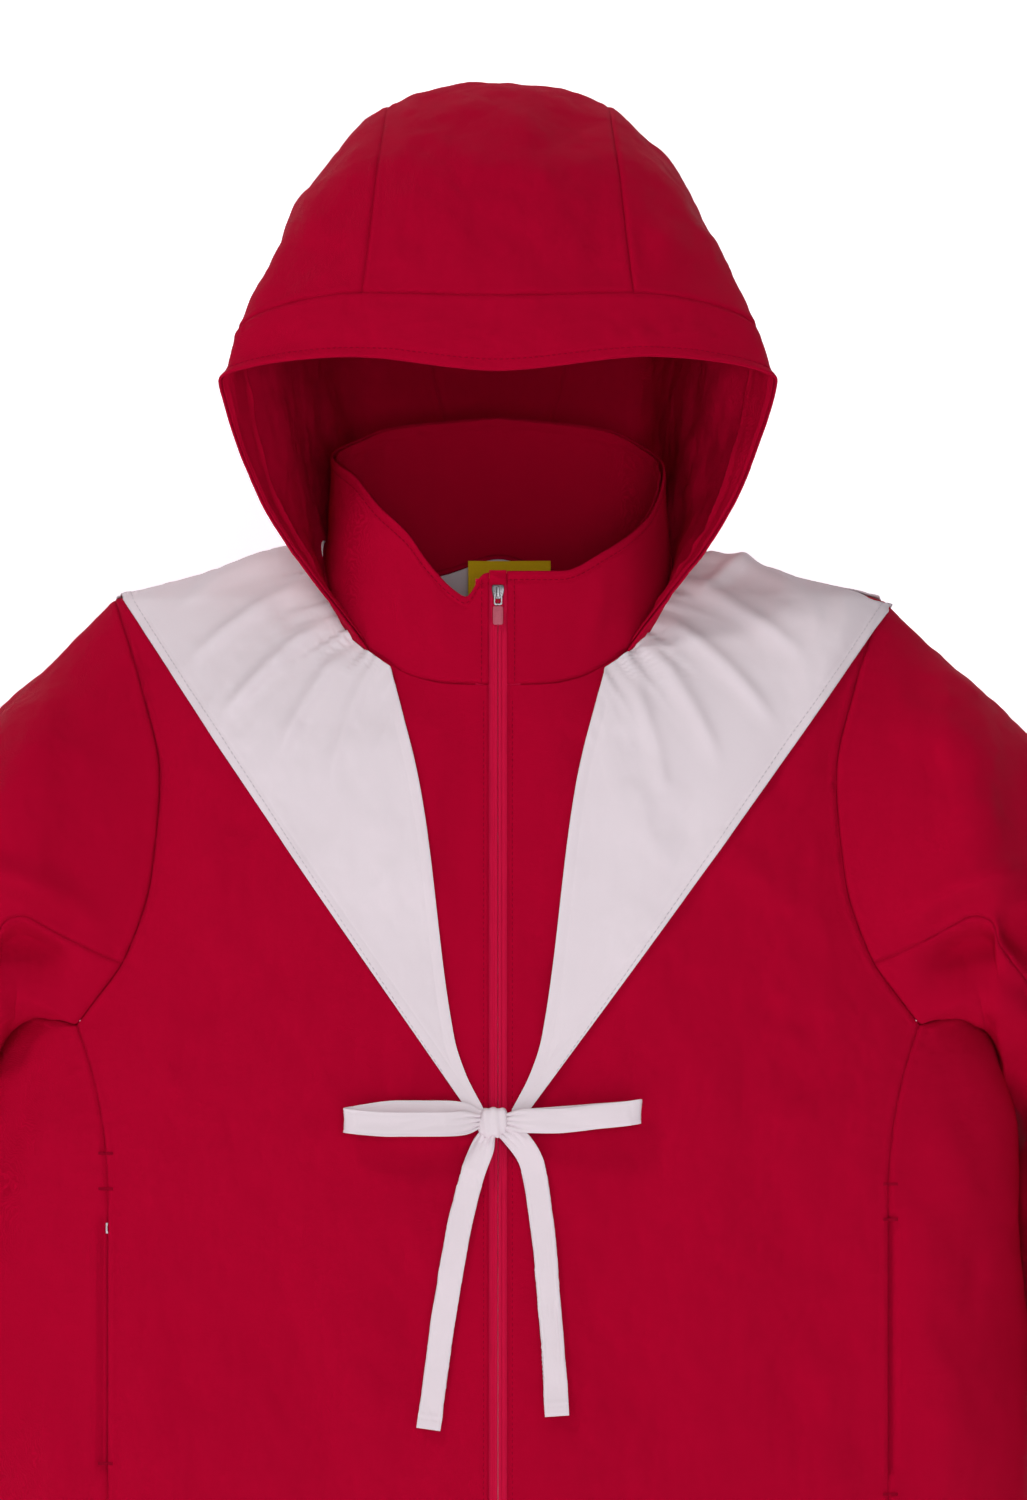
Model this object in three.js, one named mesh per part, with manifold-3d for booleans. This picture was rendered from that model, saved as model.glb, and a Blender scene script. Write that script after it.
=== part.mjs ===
// Hooded zip jacket with a tied sailor collar, held open as if worn by an unseen body.
// Millimetres. Z is up, the front faces -Y and the wearer's left is +X.
// The origin is the middle of the back neck seam.
import * as THREE from "three";
import { mergeVertices } from "three/addons/utils/BufferGeometryUtils.js";
import Module from "manifold-3d";

const wasm = await Module();
wasm.setup();

// ---------- driving dimensions ----------
const CLOTH = 1.2; // wall of every shell panel
const THIN_CLOTH = 0.8; // wall of linings, facings and pocketing
const SEAM_GAP = 0.4; // between two panels at a seam
const LAYER_GAP = 0.5; // between two layers of cloth that lie on each other

const HEM_Z = -660; // body length below the back neck
const HEM_HALF_WIDTH = 335;
const WAIST_HALF_WIDTH = 326;
const CHEST_HALF_WIDTH = 300; // at the underarm
const BACK_DEPTH = 90;
const SHOULDER_HALF_WIDTH = 240;
const SHOULDER_DROP = 28; // shoulder point below the back neck
const UNDERARM_Z = -283;
const POCKET_TOP_Z = -405;
const POCKET_LENGTH = 170;
const POCKET_MOUTH = 9;
const POCKET_ROOM = 9; // between the pocket's two faces
const PRINCESS_X = 242; // princess seam from the centre front
const PRINCESS_TOP_X = 262;
const PRINCESS_TOP_Z = -293;
const ARMHOLE_X = 210; // the armhole's innermost point

const NECK_HALF_WIDTH = 108;
const NECK_BACK_Y = 62;
const NECK_FRONT_DROP = 81;
const COLLAR_FRONT_HEIGHT = 70;
const COLLAR_BACK_HEIGHT = 88;
const COLLAR_TOP_HALF_WIDTH = 104;

const ZIP_LEAN = 0.041; // the zip line comes forward this much per mm down
const ZIP_TOP_Y = -80;
const ZIP_OPENING = 5.7; // placket edge from the centre line
const TAPE_EDGE = 14.3;
const TAPE_THICKNESS = 0.5;
const COIL_WIDTH = 2.6;
const COIL_THICKNESS = 1.5;
const ZIP_SPLIT = 0.6; // each half of the zip from the centre line

const HOOD_HEIGHT = 289; // crown above the back neck
const HOOD_HALF_WIDTH = 172;
const HOOD_REACH = 150; // brim in front of the back neck seam's own plane
const BRIM_SHARE = 0.09; // of the way from the brim to the back neck
const HOOD_PANEL_HALF_WIDTH = 66;

const CUFF_LENGTH = 45;
const SLEEVE_BACK_SHIFT = 10;

const TIE_WIDTH = 15;
const TIE_THICKNESS = 1;
const KNOT_Z = -352;
const KNOT_HALF_WIDTH = 9;
const KNOT_HALF_HEIGHT = TIE_WIDTH / 2 + 1;
const KNOT_HALF_DEPTH = 6;
const LOOP_LENGTH = 88;
const TAIL_LENGTH = 183;
const FLAP_DEPTH = 180; // sailor collar down the back

// ---------- colours ----------
const finish = (hex, roughness, metalness = 0) =>
  new THREE.MeshStandardMaterial({ color: hex, roughness, metalness });
const SHELL_RED = finish(0xba002f, 0.72);
const TIE_GREY = finish(0xdcd2d8, 0.75);
const LINING_GREY = finish(0xc9bfc4, 0.8);
const TAPE_RED = finish(0xbd0e36, 0.85);
const COIL_RED = finish(0x9c0b2b, 0.5);
const THREAD_RED = finish(0xa00028, 0.8);
const LABEL_YELLOW = finish(0xd8b512, 0.85);
const GUNMETAL = finish(0x77757a, 0.35, 1);
const PULLER_RED = finish(0xb84860, 0.55);

// ---------- small helpers ----------
const V = (x, y, z) => new THREE.Vector3(x, y, z);
const mix = (a, b, t) => a + (b - a) * t;
const clamp01 = (t) => Math.min(1, Math.max(0, t));
const smooth = (t) => clamp01(t) ** 2 * (3 - 2 * clamp01(t));
const radians = (degrees) => (degrees * Math.PI) / 180;

// A smooth function through hand-set points [input, value], with no overshoot.
function through(points) {
  const slope = points.slice(1).map(([x, y], i) => (y - points[i][1]) / (x - points[i][0]));
  const tangent = points.map((_, i) => {
    if (i === 0) return slope[0];
    if (i === points.length - 1) return slope[i - 1];
    const [a, b] = [slope[i - 1], slope[i]];
    return a * b <= 0 ? 0 : (2 * a * b) / (a + b);
  });
  return (x) => {
    let i = points.findIndex(([end]) => x <= end) - 1;
    if (x <= points[0][0]) return points[0][1] + tangent[0] * (x - points[0][0]);
    if (i < 0) {
      const last = points.length - 1;
      return points[last][1] + tangent[last] * (x - points[last][0]);
    }
    const h = points[i + 1][0] - points[i][0];
    const t = (x - points[i][0]) / h;
    const [t2, t3] = [t * t, t * t * t];
    return (
      points[i][1] * (2 * t3 - 3 * t2 + 1) +
      points[i + 1][1] * (3 * t2 - 2 * t3) +
      tangent[i] * h * (t3 - 2 * t2 + t) +
      tangent[i + 1] * h * (t3 - t2)
    );
  };
}

// ---------- the body's surface ----------
const zipY = (z) => ZIP_TOP_Y + ZIP_LEAN * (z - collarTopZ(0));
const RIDGE_SLOPE = (SHOULDER_HALF_WIDTH - 104) / (SHOULDER_DROP + 6);
const belowShoulder = through([
  [HEM_Z, HEM_HALF_WIDTH],
  [-450, WAIST_HALF_WIDTH + 3],
  [-360, WAIST_HALF_WIDTH - 1],
  [-310, CHEST_HALF_WIDTH + 12],
  [-280, CHEST_HALF_WIDTH],
  [-180, CHEST_HALF_WIDTH - 24],
  [-60, SHOULDER_HALF_WIDTH + 10],
  [-SHOULDER_DROP, SHOULDER_HALF_WIDTH],
]);
const ridgeZ = (x) => -SHOULDER_DROP + (SHOULDER_HALF_WIDTH - x) / RIDGE_SLOPE;
const halfWidth = (z) =>
  z < -SHOULDER_DROP ? belowShoulder(z) : SHOULDER_HALF_WIDTH - RIDGE_SLOPE * (z + SHOULDER_DROP);
const frontDepth = through([
  [HEM_Z, 100],
  [-400, 96],
  [-250, 92],
  [-180, 88],
  [-120, 80],
  [-81, 69],
  [-40, 47],
  [-10, 19],
  [6, 2],
]);
const backDepth = through([
  [HEM_Z, BACK_DEPTH + 2],
  [-400, BACK_DEPTH - 4],
  [-180, BACK_DEPTH],
  [-110, BACK_DEPTH - 3],
  [-70, BACK_DEPTH - 13],
  [-30, BACK_DEPTH - 37],
  [-8, BACK_DEPTH - 62],
  [6, 6],
]);
const backNeckDepth = through([
  [HEM_Z, BACK_DEPTH + 2],
  [-160, BACK_DEPTH + 1],
  [-60, 80],
  [0, NECK_BACK_Y],
  [6, NECK_BACK_Y - 2],
]);
const ROUNDNESS = 2.5; // of the body's cross-section
const bell = (x, flat, spread) => Math.exp(-((Math.max(0, Math.abs(x) - flat) / spread) ** 2));
const depthAt = (x, z, front) =>
  front
    ? mix(frontDepth(z), -zipY(z), bell(x, 16, 52))
    : mix(backDepth(z), backNeckDepth(z), bell(x, 0, 75));
const sectionShare = (x, z) => Math.max(0, 1 - (Math.abs(x) / halfWidth(z)) ** ROUNDNESS) ** (1 / ROUNDNESS);
const bodyY = (x, z, front) => (front ? -1 : 1) * depthAt(x, z, front) * sectionShare(x, z);

// Outward direction of the body's surface, the same for every piece that meets there.
function bodyNormal(p) {
  const value = (x, y, z) =>
    (Math.abs(x) / halfWidth(z)) ** ROUNDNESS + (Math.abs(y) / depthAt(x, z, y < 0)) ** ROUNDNESS;
  const step = 0.5;
  return V(
    value(p.x + step, p.y, p.z) - value(p.x - step, p.y, p.z),
    value(p.x, p.y + step, p.z) - value(p.x, p.y - step, p.z),
    value(p.x, p.y, p.z + step) - value(p.x, p.y, p.z - step),
  ).normalize();
}

// ---------- the neck seam and the collar ----------
// Angles run from the centre front, 0, to the centre back, 180.
const collarTopZ = through([
  [0, COLLAR_FRONT_HEIGHT - NECK_FRONT_DROP],
  [22, COLLAR_FRONT_HEIGHT - NECK_FRONT_DROP],
  [40, 2],
  [63, 22],
  [90, 52],
  [118, COLLAR_BACK_HEIGHT - 20],
  [140, COLLAR_BACK_HEIGHT - 8],
  [180, COLLAR_BACK_HEIGHT],
]);
const FLAT_FRONT = 8; // degrees each side of the centre front where the neck is flat for the zip
const roundFrom = (angle) => Math.cos(radians((Math.max(0, angle - FLAT_FRONT) * 180) / (180 - FLAT_FRONT)));
function neckPoint(angle) {
  const front = zipY(-NECK_FRONT_DROP);
  const y = mix(front, NECK_BACK_Y, (1 - roundFrom(angle)) / 2);
  return onBodyAt(NECK_HALF_WIDTH * Math.sin(radians(angle)), y);
}
// The body's surface over a spot in plan, found by halving the range of heights.
function onBodyAt(x, y) {
  let [low, high] = [-2 * NECK_FRONT_DROP, ridgeZ(x)];
  for (let i = 0; i < 40; i++) {
    const z = (low + high) / 2;
    if (Math.abs(bodyY(x, z, y < 0)) > Math.abs(y)) low = z;
    else high = z;
  }
  return V(x, y, (low + high) / 2);
}
function collarTopPoint(angle) {
  const y = mix(ZIP_TOP_Y, NECK_BACK_Y - 2, (1 - roundFrom(angle)) / 2);
  return V(COLLAR_TOP_HALF_WIDTH * Math.sin(radians(angle)), y, collarTopZ(angle));
}
function neckOutward(angle) {
  const along = neckPoint(angle + 1).sub(neckPoint(Math.max(0, angle - 1)));
  return angle > 178 ? V(0, 1, 0) : V(-along.y, along.x, 0).normalize().negate().multiplyScalar(-1);
}
const PLACKET_ANGLE = (Math.asin(ZIP_OPENING / NECK_HALF_WIDTH) * 180) / Math.PI;
const FRONT_NECK = [PLACKET_ANGLE, 15, 30, 45, 52, 60, 70, 80, 95];
const BACK_NECK = [95, 115, 135, 150, 165, 180];

// ---------- grids and cloth solids ----------
// A grid is rows of points; cloth() closes it into one solid between two offsets along its normals.
const mirrored = (p) => V(-p.x, p.y, p.z);

function gridNormals(grid, closed = false) {
  const rows = grid.length;
  const columns = grid[0].length;
  const at = (i, j) => {
    const column = closed ? (j + columns) % columns : Math.min(columns - 1, Math.max(0, j));
    return grid[Math.min(rows - 1, Math.max(0, i))][column];
  };
  return grid.map((row, i) =>
    row.map((_, j) => {
      const down = at(i + 1, j).clone().sub(at(i - 1, j));
      const across = at(i, j + 1).clone().sub(at(i, j - 1));
      return across.cross(down).normalize();
    }),
  );
}

function solid(triangles) {
  const flat = new Float32Array(triangles.length * 9);
  let volume = 0;
  triangles.forEach(([a, b, c], i) => {
    volume += a.dot(b.clone().cross(c));
    flat.set([a.x, a.y, a.z, b.x, b.y, b.z, c.x, c.y, c.z], i * 9);
  });
  if (volume < 0) {
    triangles.forEach(([a, b, c], i) => flat.set([a.x, a.y, a.z, c.x, c.y, c.z, b.x, b.y, b.z], i * 9));
  }
  return new THREE.BufferGeometry().setAttribute("position", new THREE.BufferAttribute(flat, 3));
}

// Pulls a grid's edge points inwards along the cloth, which leaves the seam's gap.
function inset(grid, sides, by) {
  const rows = grid.length;
  const columns = grid[0].length;
  const moved = grid.map((row) => row.map((p) => p.clone()));
  const pull = (i, j, i2, j2) => {
    const way = grid[i2][j2].clone().sub(grid[i][j]);
    moved[i][j].addScaledVector(way.normalize(), by);
  };
  for (let j = 0; j < columns; j++) {
    if (sides.includes("first_row")) pull(0, j, 1, j);
    if (sides.includes("last_row")) pull(rows - 1, j, rows - 2, j);
  }
  for (let i = 0; i < rows; i++) {
    if (sides.includes("first_column")) pull(i, 0, i, 1);
    if (sides.includes("last_column")) pull(i, columns - 1, i, columns - 2);
  }
  return moved;
}

function cloth(grid, normals, outer, inner, { closed = false, sides = [], gap = SEAM_GAP / 2 } = {}) {
  const offset = (by) =>
    inset(
      grid.map((row, i) =>
        row.map((p, j) => p.clone().addScaledVector(normals[i][j], typeof by === "function" ? by(i, j) : by)),
      ),
      sides,
      gap,
    );
  const [top, bottom] = [offset(outer), offset(inner)];
  const rows = grid.length;
  const columns = grid[0].length;
  const triangles = [];
  const quad = (a, b, c, d) => triangles.push([a, b, c], [a, c, d]);
  const lastColumn = closed ? columns : columns - 1;
  for (let i = 0; i < rows - 1; i++) {
    for (let j = 0; j < lastColumn; j++) {
      const k = (j + 1) % columns;
      quad(top[i][j], top[i][k], top[i + 1][k], top[i + 1][j]);
      quad(bottom[i][j], bottom[i + 1][j], bottom[i + 1][k], bottom[i][k]);
    }
  }
  for (let j = 0; j < lastColumn; j++) {
    const k = (j + 1) % columns;
    quad(top[0][k], top[0][j], bottom[0][j], bottom[0][k]);
    quad(top[rows - 1][j], top[rows - 1][k], bottom[rows - 1][k], bottom[rows - 1][j]);
  }
  if (!closed) {
    for (let i = 0; i < rows - 1; i++) {
      quad(top[i][0], top[i + 1][0], bottom[i + 1][0], bottom[i][0]);
      quad(top[i + 1][columns - 1], top[i][columns - 1], bottom[i][columns - 1], bottom[i + 1][columns - 1]);
    }
  }
  return solid(triangles);
}

// ---------- assembly ----------
const jacket = new THREE.Group();
function add(name, geometry, material, parent = jacket) {
  const mesh = new THREE.Mesh(geometry, material);
  mesh.name = name;
  parent.add(mesh);
  return mesh;
}
// Makes a left piece, at +X, and its mirror image.
function addPair(name, makeGeometry, material) {
  for (const side of ["left", "right"]) {
    const geometry = makeGeometry((p) => (side === "left" ? p : mirrored(p)), side);
    add(name.replace("SIDE", side), geometry, material);
  }
}
const mapGrid = (grid, move) => grid.map((row) => row.map((p) => move(p.clone())));

function manifoldOf(geometry) {
  const bare = new THREE.BufferGeometry().setAttribute("position", geometry.getAttribute("position"));
  if (geometry.index) bare.setIndex(geometry.index);
  const merged = mergeVertices(bare.toNonIndexed ? bare : bare, 1e-4);
  return new wasm.Manifold(
    new wasm.Mesh({
      numProp: 3,
      vertProperties: merged.attributes.position.array,
      triVerts: new Uint32Array(merged.index.array),
    }),
  );
}
function geometryOf(manifold) {
  const mesh = manifold.getMesh();
  const points = new Float32Array(mesh.numVert * 3);
  for (let i = 0; i < mesh.numVert; i++) {
    points.set(mesh.vertProperties.subarray(i * mesh.numProp, i * mesh.numProp + 3), i * 3);
  }
  return new THREE.BufferGeometry()
    .setAttribute("position", new THREE.BufferAttribute(points, 3))
    .setIndex(new THREE.BufferAttribute(mesh.triVerts, 1));
}
const cut = (geometry, tool) => geometryOf(manifoldOf(geometry).subtract(manifoldOf(tool)));

// ---------- body panels ----------
const POCKET_BOTTOM_Z = POCKET_TOP_Z - POCKET_LENGTH;
const LOW_ROWS = [HEM_Z, POCKET_BOTTOM_Z, (POCKET_TOP_Z + POCKET_BOTTOM_Z) / 2, POCKET_TOP_Z];
const HIGH_ROWS = [0.25, 0.5, 0.7, 0.84, 0.93, 0.98, 1]; // from the pocket's top to the panel's own top edge
const COLUMN_BEND = 2.2; // how late a panel's columns swing out to its top edge

// The armhole seam down the front or back of the body, from the shoulder point.
const armholeX = through([
  [PRINCESS_TOP_Z, PRINCESS_TOP_X],
  [-280, ARMHOLE_X + 42],
  [-250, ARMHOLE_X + 21],
  [-200, ARMHOLE_X + 5],
  [-140, ARMHOLE_X],
  [-80, ARMHOLE_X + 13],
  [-SHOULDER_DROP, SHOULDER_HALF_WIDTH],
]);
const ARMHOLE_ZS = [-42, -65, -100, -145, -195, -250, PRINCESS_TOP_Z];

// The top edge of a front or back panel, from the centre to the princess seam.
function panelTop(front) {
  const neck = (front ? FRONT_NECK : [...BACK_NECK].reverse()).map(neckPoint);
  const neckSide = neck[neck.length - 1];
  const shoulder = [0.33, 0.67, 1].map((share) => {
    const x = mix(neckSide.x, SHOULDER_HALF_WIDTH, share);
    return V(x, 0, mix(neckSide.z, -SHOULDER_DROP, share));
  });
  const armhole = ARMHOLE_ZS.map((z) => V(armholeX(z), bodyY(armholeX(z), z, front), z));
  return [...neck, ...shoulder, ...armhole];
}

function panelGrid(front, centreX) {
  const top = panelTop(front);
  const width = PRINCESS_X - centreX;
  // Below the pocket's top the columns stand straight, spread as the top edge's own length is.
  const spread = top.map((_, j) => centreX + width * (j / (top.length - 1)) ** 0.85);
  const low = LOW_ROWS.map((z) => spread.map((x) => V(x, bodyY(x, z, front), z)));
  const high = HIGH_ROWS.map((share) =>
    top.map((end, j) => {
      const x = mix(spread[j], end.x, share ** COLUMN_BEND);
      const z = mix(POCKET_TOP_Z, end.z, share);
      return V(x, share === 1 ? end.y : bodyY(x, z, front), z);
    }),
  );
  return [...low, ...high];
}
const bodyNormals = (grid) => grid.map((row) => row.map((p) => bodyNormal(p)));

// The side panel goes round the body's side from the front princess seam to the back one.
const SIDE_COLUMNS = 6;
function sideGrid() {
  const frontEdge = panelGrid(true, ZIP_OPENING).map((row) => row[row.length - 1]);
  const backEdge = panelGrid(false, 0).map((row) => row[row.length - 1]);
  return frontEdge.map((start, i) => {
    const end = backEdge[i];
    const rise = i >= LOW_ROWS.length ? HIGH_ROWS[i - LOW_ROWS.length] : 0;
    return Array.from({ length: SIDE_COLUMNS + 1 }, (_, j) => {
      const turn = mix(-1, 1, j / SIDE_COLUMNS);
      const z = start.z + (UNDERARM_Z - PRINCESS_TOP_Z) * rise * (1 - turn ** 2);
      const reach = start.x / halfWidth(start.z);
      const startAngle = Math.acos(clamp01(reach) ** (ROUNDNESS / 2));
      const angle = startAngle * Math.abs(turn);
      const x = halfWidth(z) * Math.cos(angle) ** (2 / ROUNDNESS);
      if (j === 0) return start.clone();
      if (j === SIDE_COLUMNS) return end.clone();
      return V(x, turn === 0 ? 0 : bodyY(x, z, turn < 0), z);
    });
  });
}
const backHalf = panelGrid(false, 0);
const backGrid = backHalf.map((row) => [...row.slice(1).reverse().map(mirrored), ...row]);
const frontGrid = panelGrid(true, ZIP_OPENING);
const ALL_SIDES = ["first_column", "last_column", "last_row"];

addPair(
  "front_panel_SIDE",
  (move) => {
    const grid = mapGrid(frontGrid, move);
    return cloth(grid, bodyNormals(grid), 0, -CLOTH, { sides: ["last_column", "last_row"] });
  },
  SHELL_RED,
);
add("back_panel", cloth(backGrid, bodyNormals(backGrid), 0, -CLOTH, { sides: ALL_SIDES }), SHELL_RED);

function boxBetween(low, high) {
  const size = high.clone().sub(low);
  const middle = low.clone().add(high).multiplyScalar(0.5);
  return new THREE.BoxGeometry(size.x, size.y, size.z).translate(middle.x, middle.y, middle.z);
}
const princessY = bodyY(PRINCESS_X, (POCKET_TOP_Z + POCKET_BOTTOM_Z) / 2, true);
addPair(
  "side_panel_SIDE",
  (move) => {
    const grid = mapGrid(sideGrid(), move);
    const panel = cloth(grid, bodyNormals(grid), 0, -CLOTH, { sides: ALL_SIDES });
    const corners = [
      V(PRINCESS_X - 20, princessY - 20, POCKET_BOTTOM_Z + 2),
      V(PRINCESS_X + POCKET_MOUTH, princessY + 20, POCKET_TOP_Z - 2),
    ].map((p) => move(p));
    const low = corners[0].clone().min(corners[1]);
    const high = corners[0].clone().max(corners[1]);
    return cut(panel, boxBetween(low, high));
  },
  SHELL_RED,
);

// ---------- inside of the body: facings, lining, pockets ----------
const UNDER_SHELL = -CLOTH - LAYER_GAP;
const HEM_FACING_HEIGHT = 30;
function ringAt(z) {
  const front = panelTop(true).map((_, j, all) => {
    return mix(TAPE_EDGE + 0.7, PRINCESS_X, (j / (all.length - 1)) ** 0.85);
  });
  const side = Array.from({ length: 5 }, (_, j) => {
    const turn = mix(-1, 1, (j + 1) / 6);
    const startAngle = Math.acos((PRINCESS_X / halfWidth(z)) ** (ROUNDNESS / 2));
    const x = halfWidth(z) * Math.cos(startAngle * Math.abs(turn)) ** (2 / ROUNDNESS);
    return V(x, turn === 0 ? 0 : bodyY(x, z, turn < 0), z);
  });
  const back = backHalf[0].map((p) => V(p.x, bodyY(p.x, z, false), z)).reverse();
  const half = [...front.map((x) => V(x, bodyY(x, z, true), z)), ...side, ...back];
  return [...half, ...half.slice(0, -1).reverse().map(mirrored)];
}
const ringLow = ringAt(HEM_Z);
const ringHigh = ringAt(POCKET_BOTTOM_Z);
const hemGrid = [1, HEM_FACING_HEIGHT].map((height) =>
  ringLow.map((p, j) => p.clone().lerp(ringHigh[j], height / (POCKET_BOTTOM_Z - HEM_Z))),
);
add(
  "hem_facing",
  cloth(hemGrid, bodyNormals(hemGrid), UNDER_SHELL, UNDER_SHELL - THIN_CLOTH),
  SHELL_RED,
);
const liningFloor = HEM_Z + HEM_FACING_HEIGHT + LAYER_GAP;
const raised = (grid) =>
  grid.map((row) => row.map((p) => (p.z > liningFloor ? p : V(p.x, bodyY(p.x, liningFloor, p.y < 0), liningFloor))));
const LINING_DEPTH = 4.2; // the lining hangs a little inside the shell
const backLining = raised(backGrid);
add(
  "lining_back",
  cloth(backLining, bodyNormals(backLining), -LINING_DEPTH, -LINING_DEPTH - THIN_CLOTH, {
    sides: ALL_SIDES,
    gap: 3,
  }),
  LINING_GREY,
);

const FACING_WIDTH = 52;
const UNDER_TAPE = UNDER_SHELL - TAPE_THICKNESS - LAYER_GAP;
addPair(
  "front_facing_SIDE",
  (move) => {
    const zs = [liningFloor, -480, -350, -200, -130, -88];
    const xs = [7, 18, 30, FACING_WIDTH];
    const grid = zs.map((z) => xs.map((x) => move(V(x, bodyY(x, z, true), z))));
    return cloth(grid, bodyNormals(grid), UNDER_TAPE, UNDER_TAPE - THIN_CLOTH);
  },
  SHELL_RED,
);

const POCKET_REACH = 125; // pocket's depth from the princess seam towards the zip
const POCKET_ENDS = 14; // the pocket runs past its mouth this far at top and bottom
function pocketGrid(margin) {
  const shares = [0, 0.5, 1];
  return [0, 0.35, 0.7, 1].map((down) =>
    [...shares, 1.12].map((share) => {
      const far = PRINCESS_X + POCKET_MOUTH + 3 - margin;
      const near = PRINCESS_X - POCKET_REACH + margin;
      const x = share > 1 ? far : mix(near, PRINCESS_X, share);
      const sag = 22 * (1 - Math.min(1, share));
      const top = POCKET_TOP_Z + POCKET_ENDS - margin;
      const bottom = POCKET_BOTTOM_Z - POCKET_ENDS - sag + margin;
      const z = mix(top, bottom, down);
      return V(x, bodyY(x, z, true), z);
    }),
  );
}
addPair(
  "pocket_bag_SIDE",
  (move) => {
    const make = (margin, from, to) => {
      const grid = mapGrid(pocketGrid(margin), move);
      return cloth(grid, bodyNormals(grid), from, to);
    };
    const skin = UNDER_SHELL - 1;
    const bag = make(0, skin, skin - POCKET_ROOM - 2 * THIN_CLOTH);
    const room = make(THIN_CLOTH, skin - THIN_CLOTH, skin - THIN_CLOTH - POCKET_ROOM);
    const a = move(V(PRINCESS_X + 0.5, princessY - 20, POCKET_BOTTOM_Z + 2));
    const b = move(V(PRINCESS_X + POCKET_MOUTH, princessY + 6, POCKET_TOP_Z - 2));
    const mouth = boxBetween(a.clone().min(b), a.clone().max(b));
    return cut(cut(bag, room), mouth);
  },
  LINING_GREY,
);

const TACK_LENGTH = 8;
for (const [name, z] of [
  ["top", POCKET_TOP_Z + 22],
  ["upper", POCKET_TOP_Z],
  ["lower", POCKET_BOTTOM_Z],
]) {
  addPair(
    `bar_tack_SIDE_${name}`,
    (move) => {
      const xs = [PRINCESS_X + 0.5, PRINCESS_X + TACK_LENGTH];
      const grid = [z - 1, z + 1].map((height) => xs.map((x) => move(V(x, bodyY(x, height, true), height))));
      return cloth(grid, bodyNormals(grid), 1.3, 0.7);
    },
    THREAD_RED,
  );
}

// ---------- collar ----------
const COLLAR_ANGLES = [...FRONT_NECK, ...BACK_NECK.slice(1)];
const AROUND = [...COLLAR_ANGLES, ...COLLAR_ANGLES.slice(0, -1).reverse().map((angle) => 360 - angle)];
const COLLAR_ROWS = [0, 0.35, 0.7, 1];
function onCollar(angle, share) {
  const half = angle > 180 ? 360 - angle : angle;
  const point = neckPoint(half).lerp(collarTopPoint(half), share);
  return angle > 180 ? mirrored(point) : point;
}
function collarGrid(from, to, angles = AROUND) {
  return COLLAR_ROWS.map((row) => angles.map((angle) => onCollar(angle, mix(from, to, row))));
}
const outwards = (normals, sign) => normals.map((row) => row.map((n) => n.clone().multiplyScalar(sign)));
function radial(grid) {
  const normals = gridNormals(grid);
  const middle = normals[0][Math.floor(normals[0].length / 2)];
  return middle.y > 0 ? normals : outwards(normals, -1);
}
const SEAM_RISE = 0.012; // share of the collar's height that the seam's gap takes
const outerCollar = collarGrid(SEAM_RISE, 1);
add("collar_outer", cloth(outerCollar, radial(outerCollar), 0, -CLOTH), SHELL_RED);
const INNER_ANGLES = AROUND.map((angle) => mix(180, angle, 0.985));
const innerCollar = collarGrid(SEAM_RISE, 0.985, INNER_ANGLES);
add(
  "collar_facing",
  cloth(innerCollar, radial(innerCollar), UNDER_TAPE, UNDER_TAPE - THIN_CLOTH),
  SHELL_RED,
);

const LABEL_HALF_WIDTH = 27;
const LABEL_HEIGHT = 34;
const backInside = (x, z) => V(x, bodyY(x, z, false), z);
function backPatch(halfWidthOf, top, bottom, outer, inner) {
  const xs = [-1, -0.5, 0, 0.5, 1].map((share) => share * halfWidthOf);
  const grid = [bottom, mix(bottom, top, 0.5), top].map((z) => xs.map((x) => backInside(x, z)));
  return cloth(grid, bodyNormals(grid), outer, inner);
}
const LOOP_IN = LINING_DEPTH + THIN_CLOTH + 2.5 * LAYER_GAP;
const LOOP_THICKNESS = 1.2;
const LABEL_IN = LOOP_IN + LOOP_THICKNESS + LAYER_GAP;
add("neck_label", backPatch(LABEL_HALF_WIDTH, -6, -6 - LABEL_HEIGHT, -LABEL_IN, -LABEL_IN - 0.7), LABEL_YELLOW);
add("hanger_loop", backPatch(22, -9, -15, -LOOP_IN, -LOOP_IN - LOOP_THICKNESS), LINING_GREY);

// ---------- hood ----------
// Half the hood, in points [x, y, z] from cheek to the middle, at shares of the way back.
const HOOD_COLUMNS = [0, 0.3, 0.55, 0.8, 1];
const PANEL_SEAM = 0.8;
const HOOD_ATTACH = 47; // neck angle where the hood's front edge starts
const HOOD_STATIONS = [
  [0, [146, -88, 42], [HOOD_HALF_WIDTH - 2, -112, 113], [70, -143, 117], [0, -HOOD_REACH, 110]],
  [BRIM_SHARE, [150, -76, 52], [HOOD_HALF_WIDTH - 10, -98, 146], [70, -128, 160], [0, -137, 157]],
  [0.25, [146, -44, 66], [143, -58, 172], [70, -70, 246], [0, -78, 250]],
  [0.45, [138, 6, 72], [132, 8, 182], [HOOD_PANEL_HALF_WIDTH, 8, 276], [0, 6, HOOD_HEIGHT]],
  [0.65, [122, 58, 66], [114, 76, 164], [60, 88, 232], [0, 92, 242]],
  [0.84, [94, 92, 44], [84, 110, 108], [48, 122, 146], [0, 126, 150]],
];
const hoodCurve = (column, axis, end) =>
  through([...HOOD_STATIONS.map(([share, ...points]) => [share, points[column][axis]]), [1, end]]);
const NECK_END_ANGLES = [158, 163, 167, 173, 180];
const HOOD_LIFT = 1.2;
function neckOutside(angle) {
  const p = neckPoint(angle);
  const way = neckPoint(Math.min(180, angle + 1)).sub(neckPoint(angle - 1));
  const out = angle > 179 ? V(0, 1, 0) : V(-way.y, way.x, 0).normalize();
  if (out.x * p.x < -1e-9) out.negate();
  return p.addScaledVector(out, CLOTH + LAYER_GAP + 0.2).add(V(0, 0, HOOD_LIFT));
}
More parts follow.
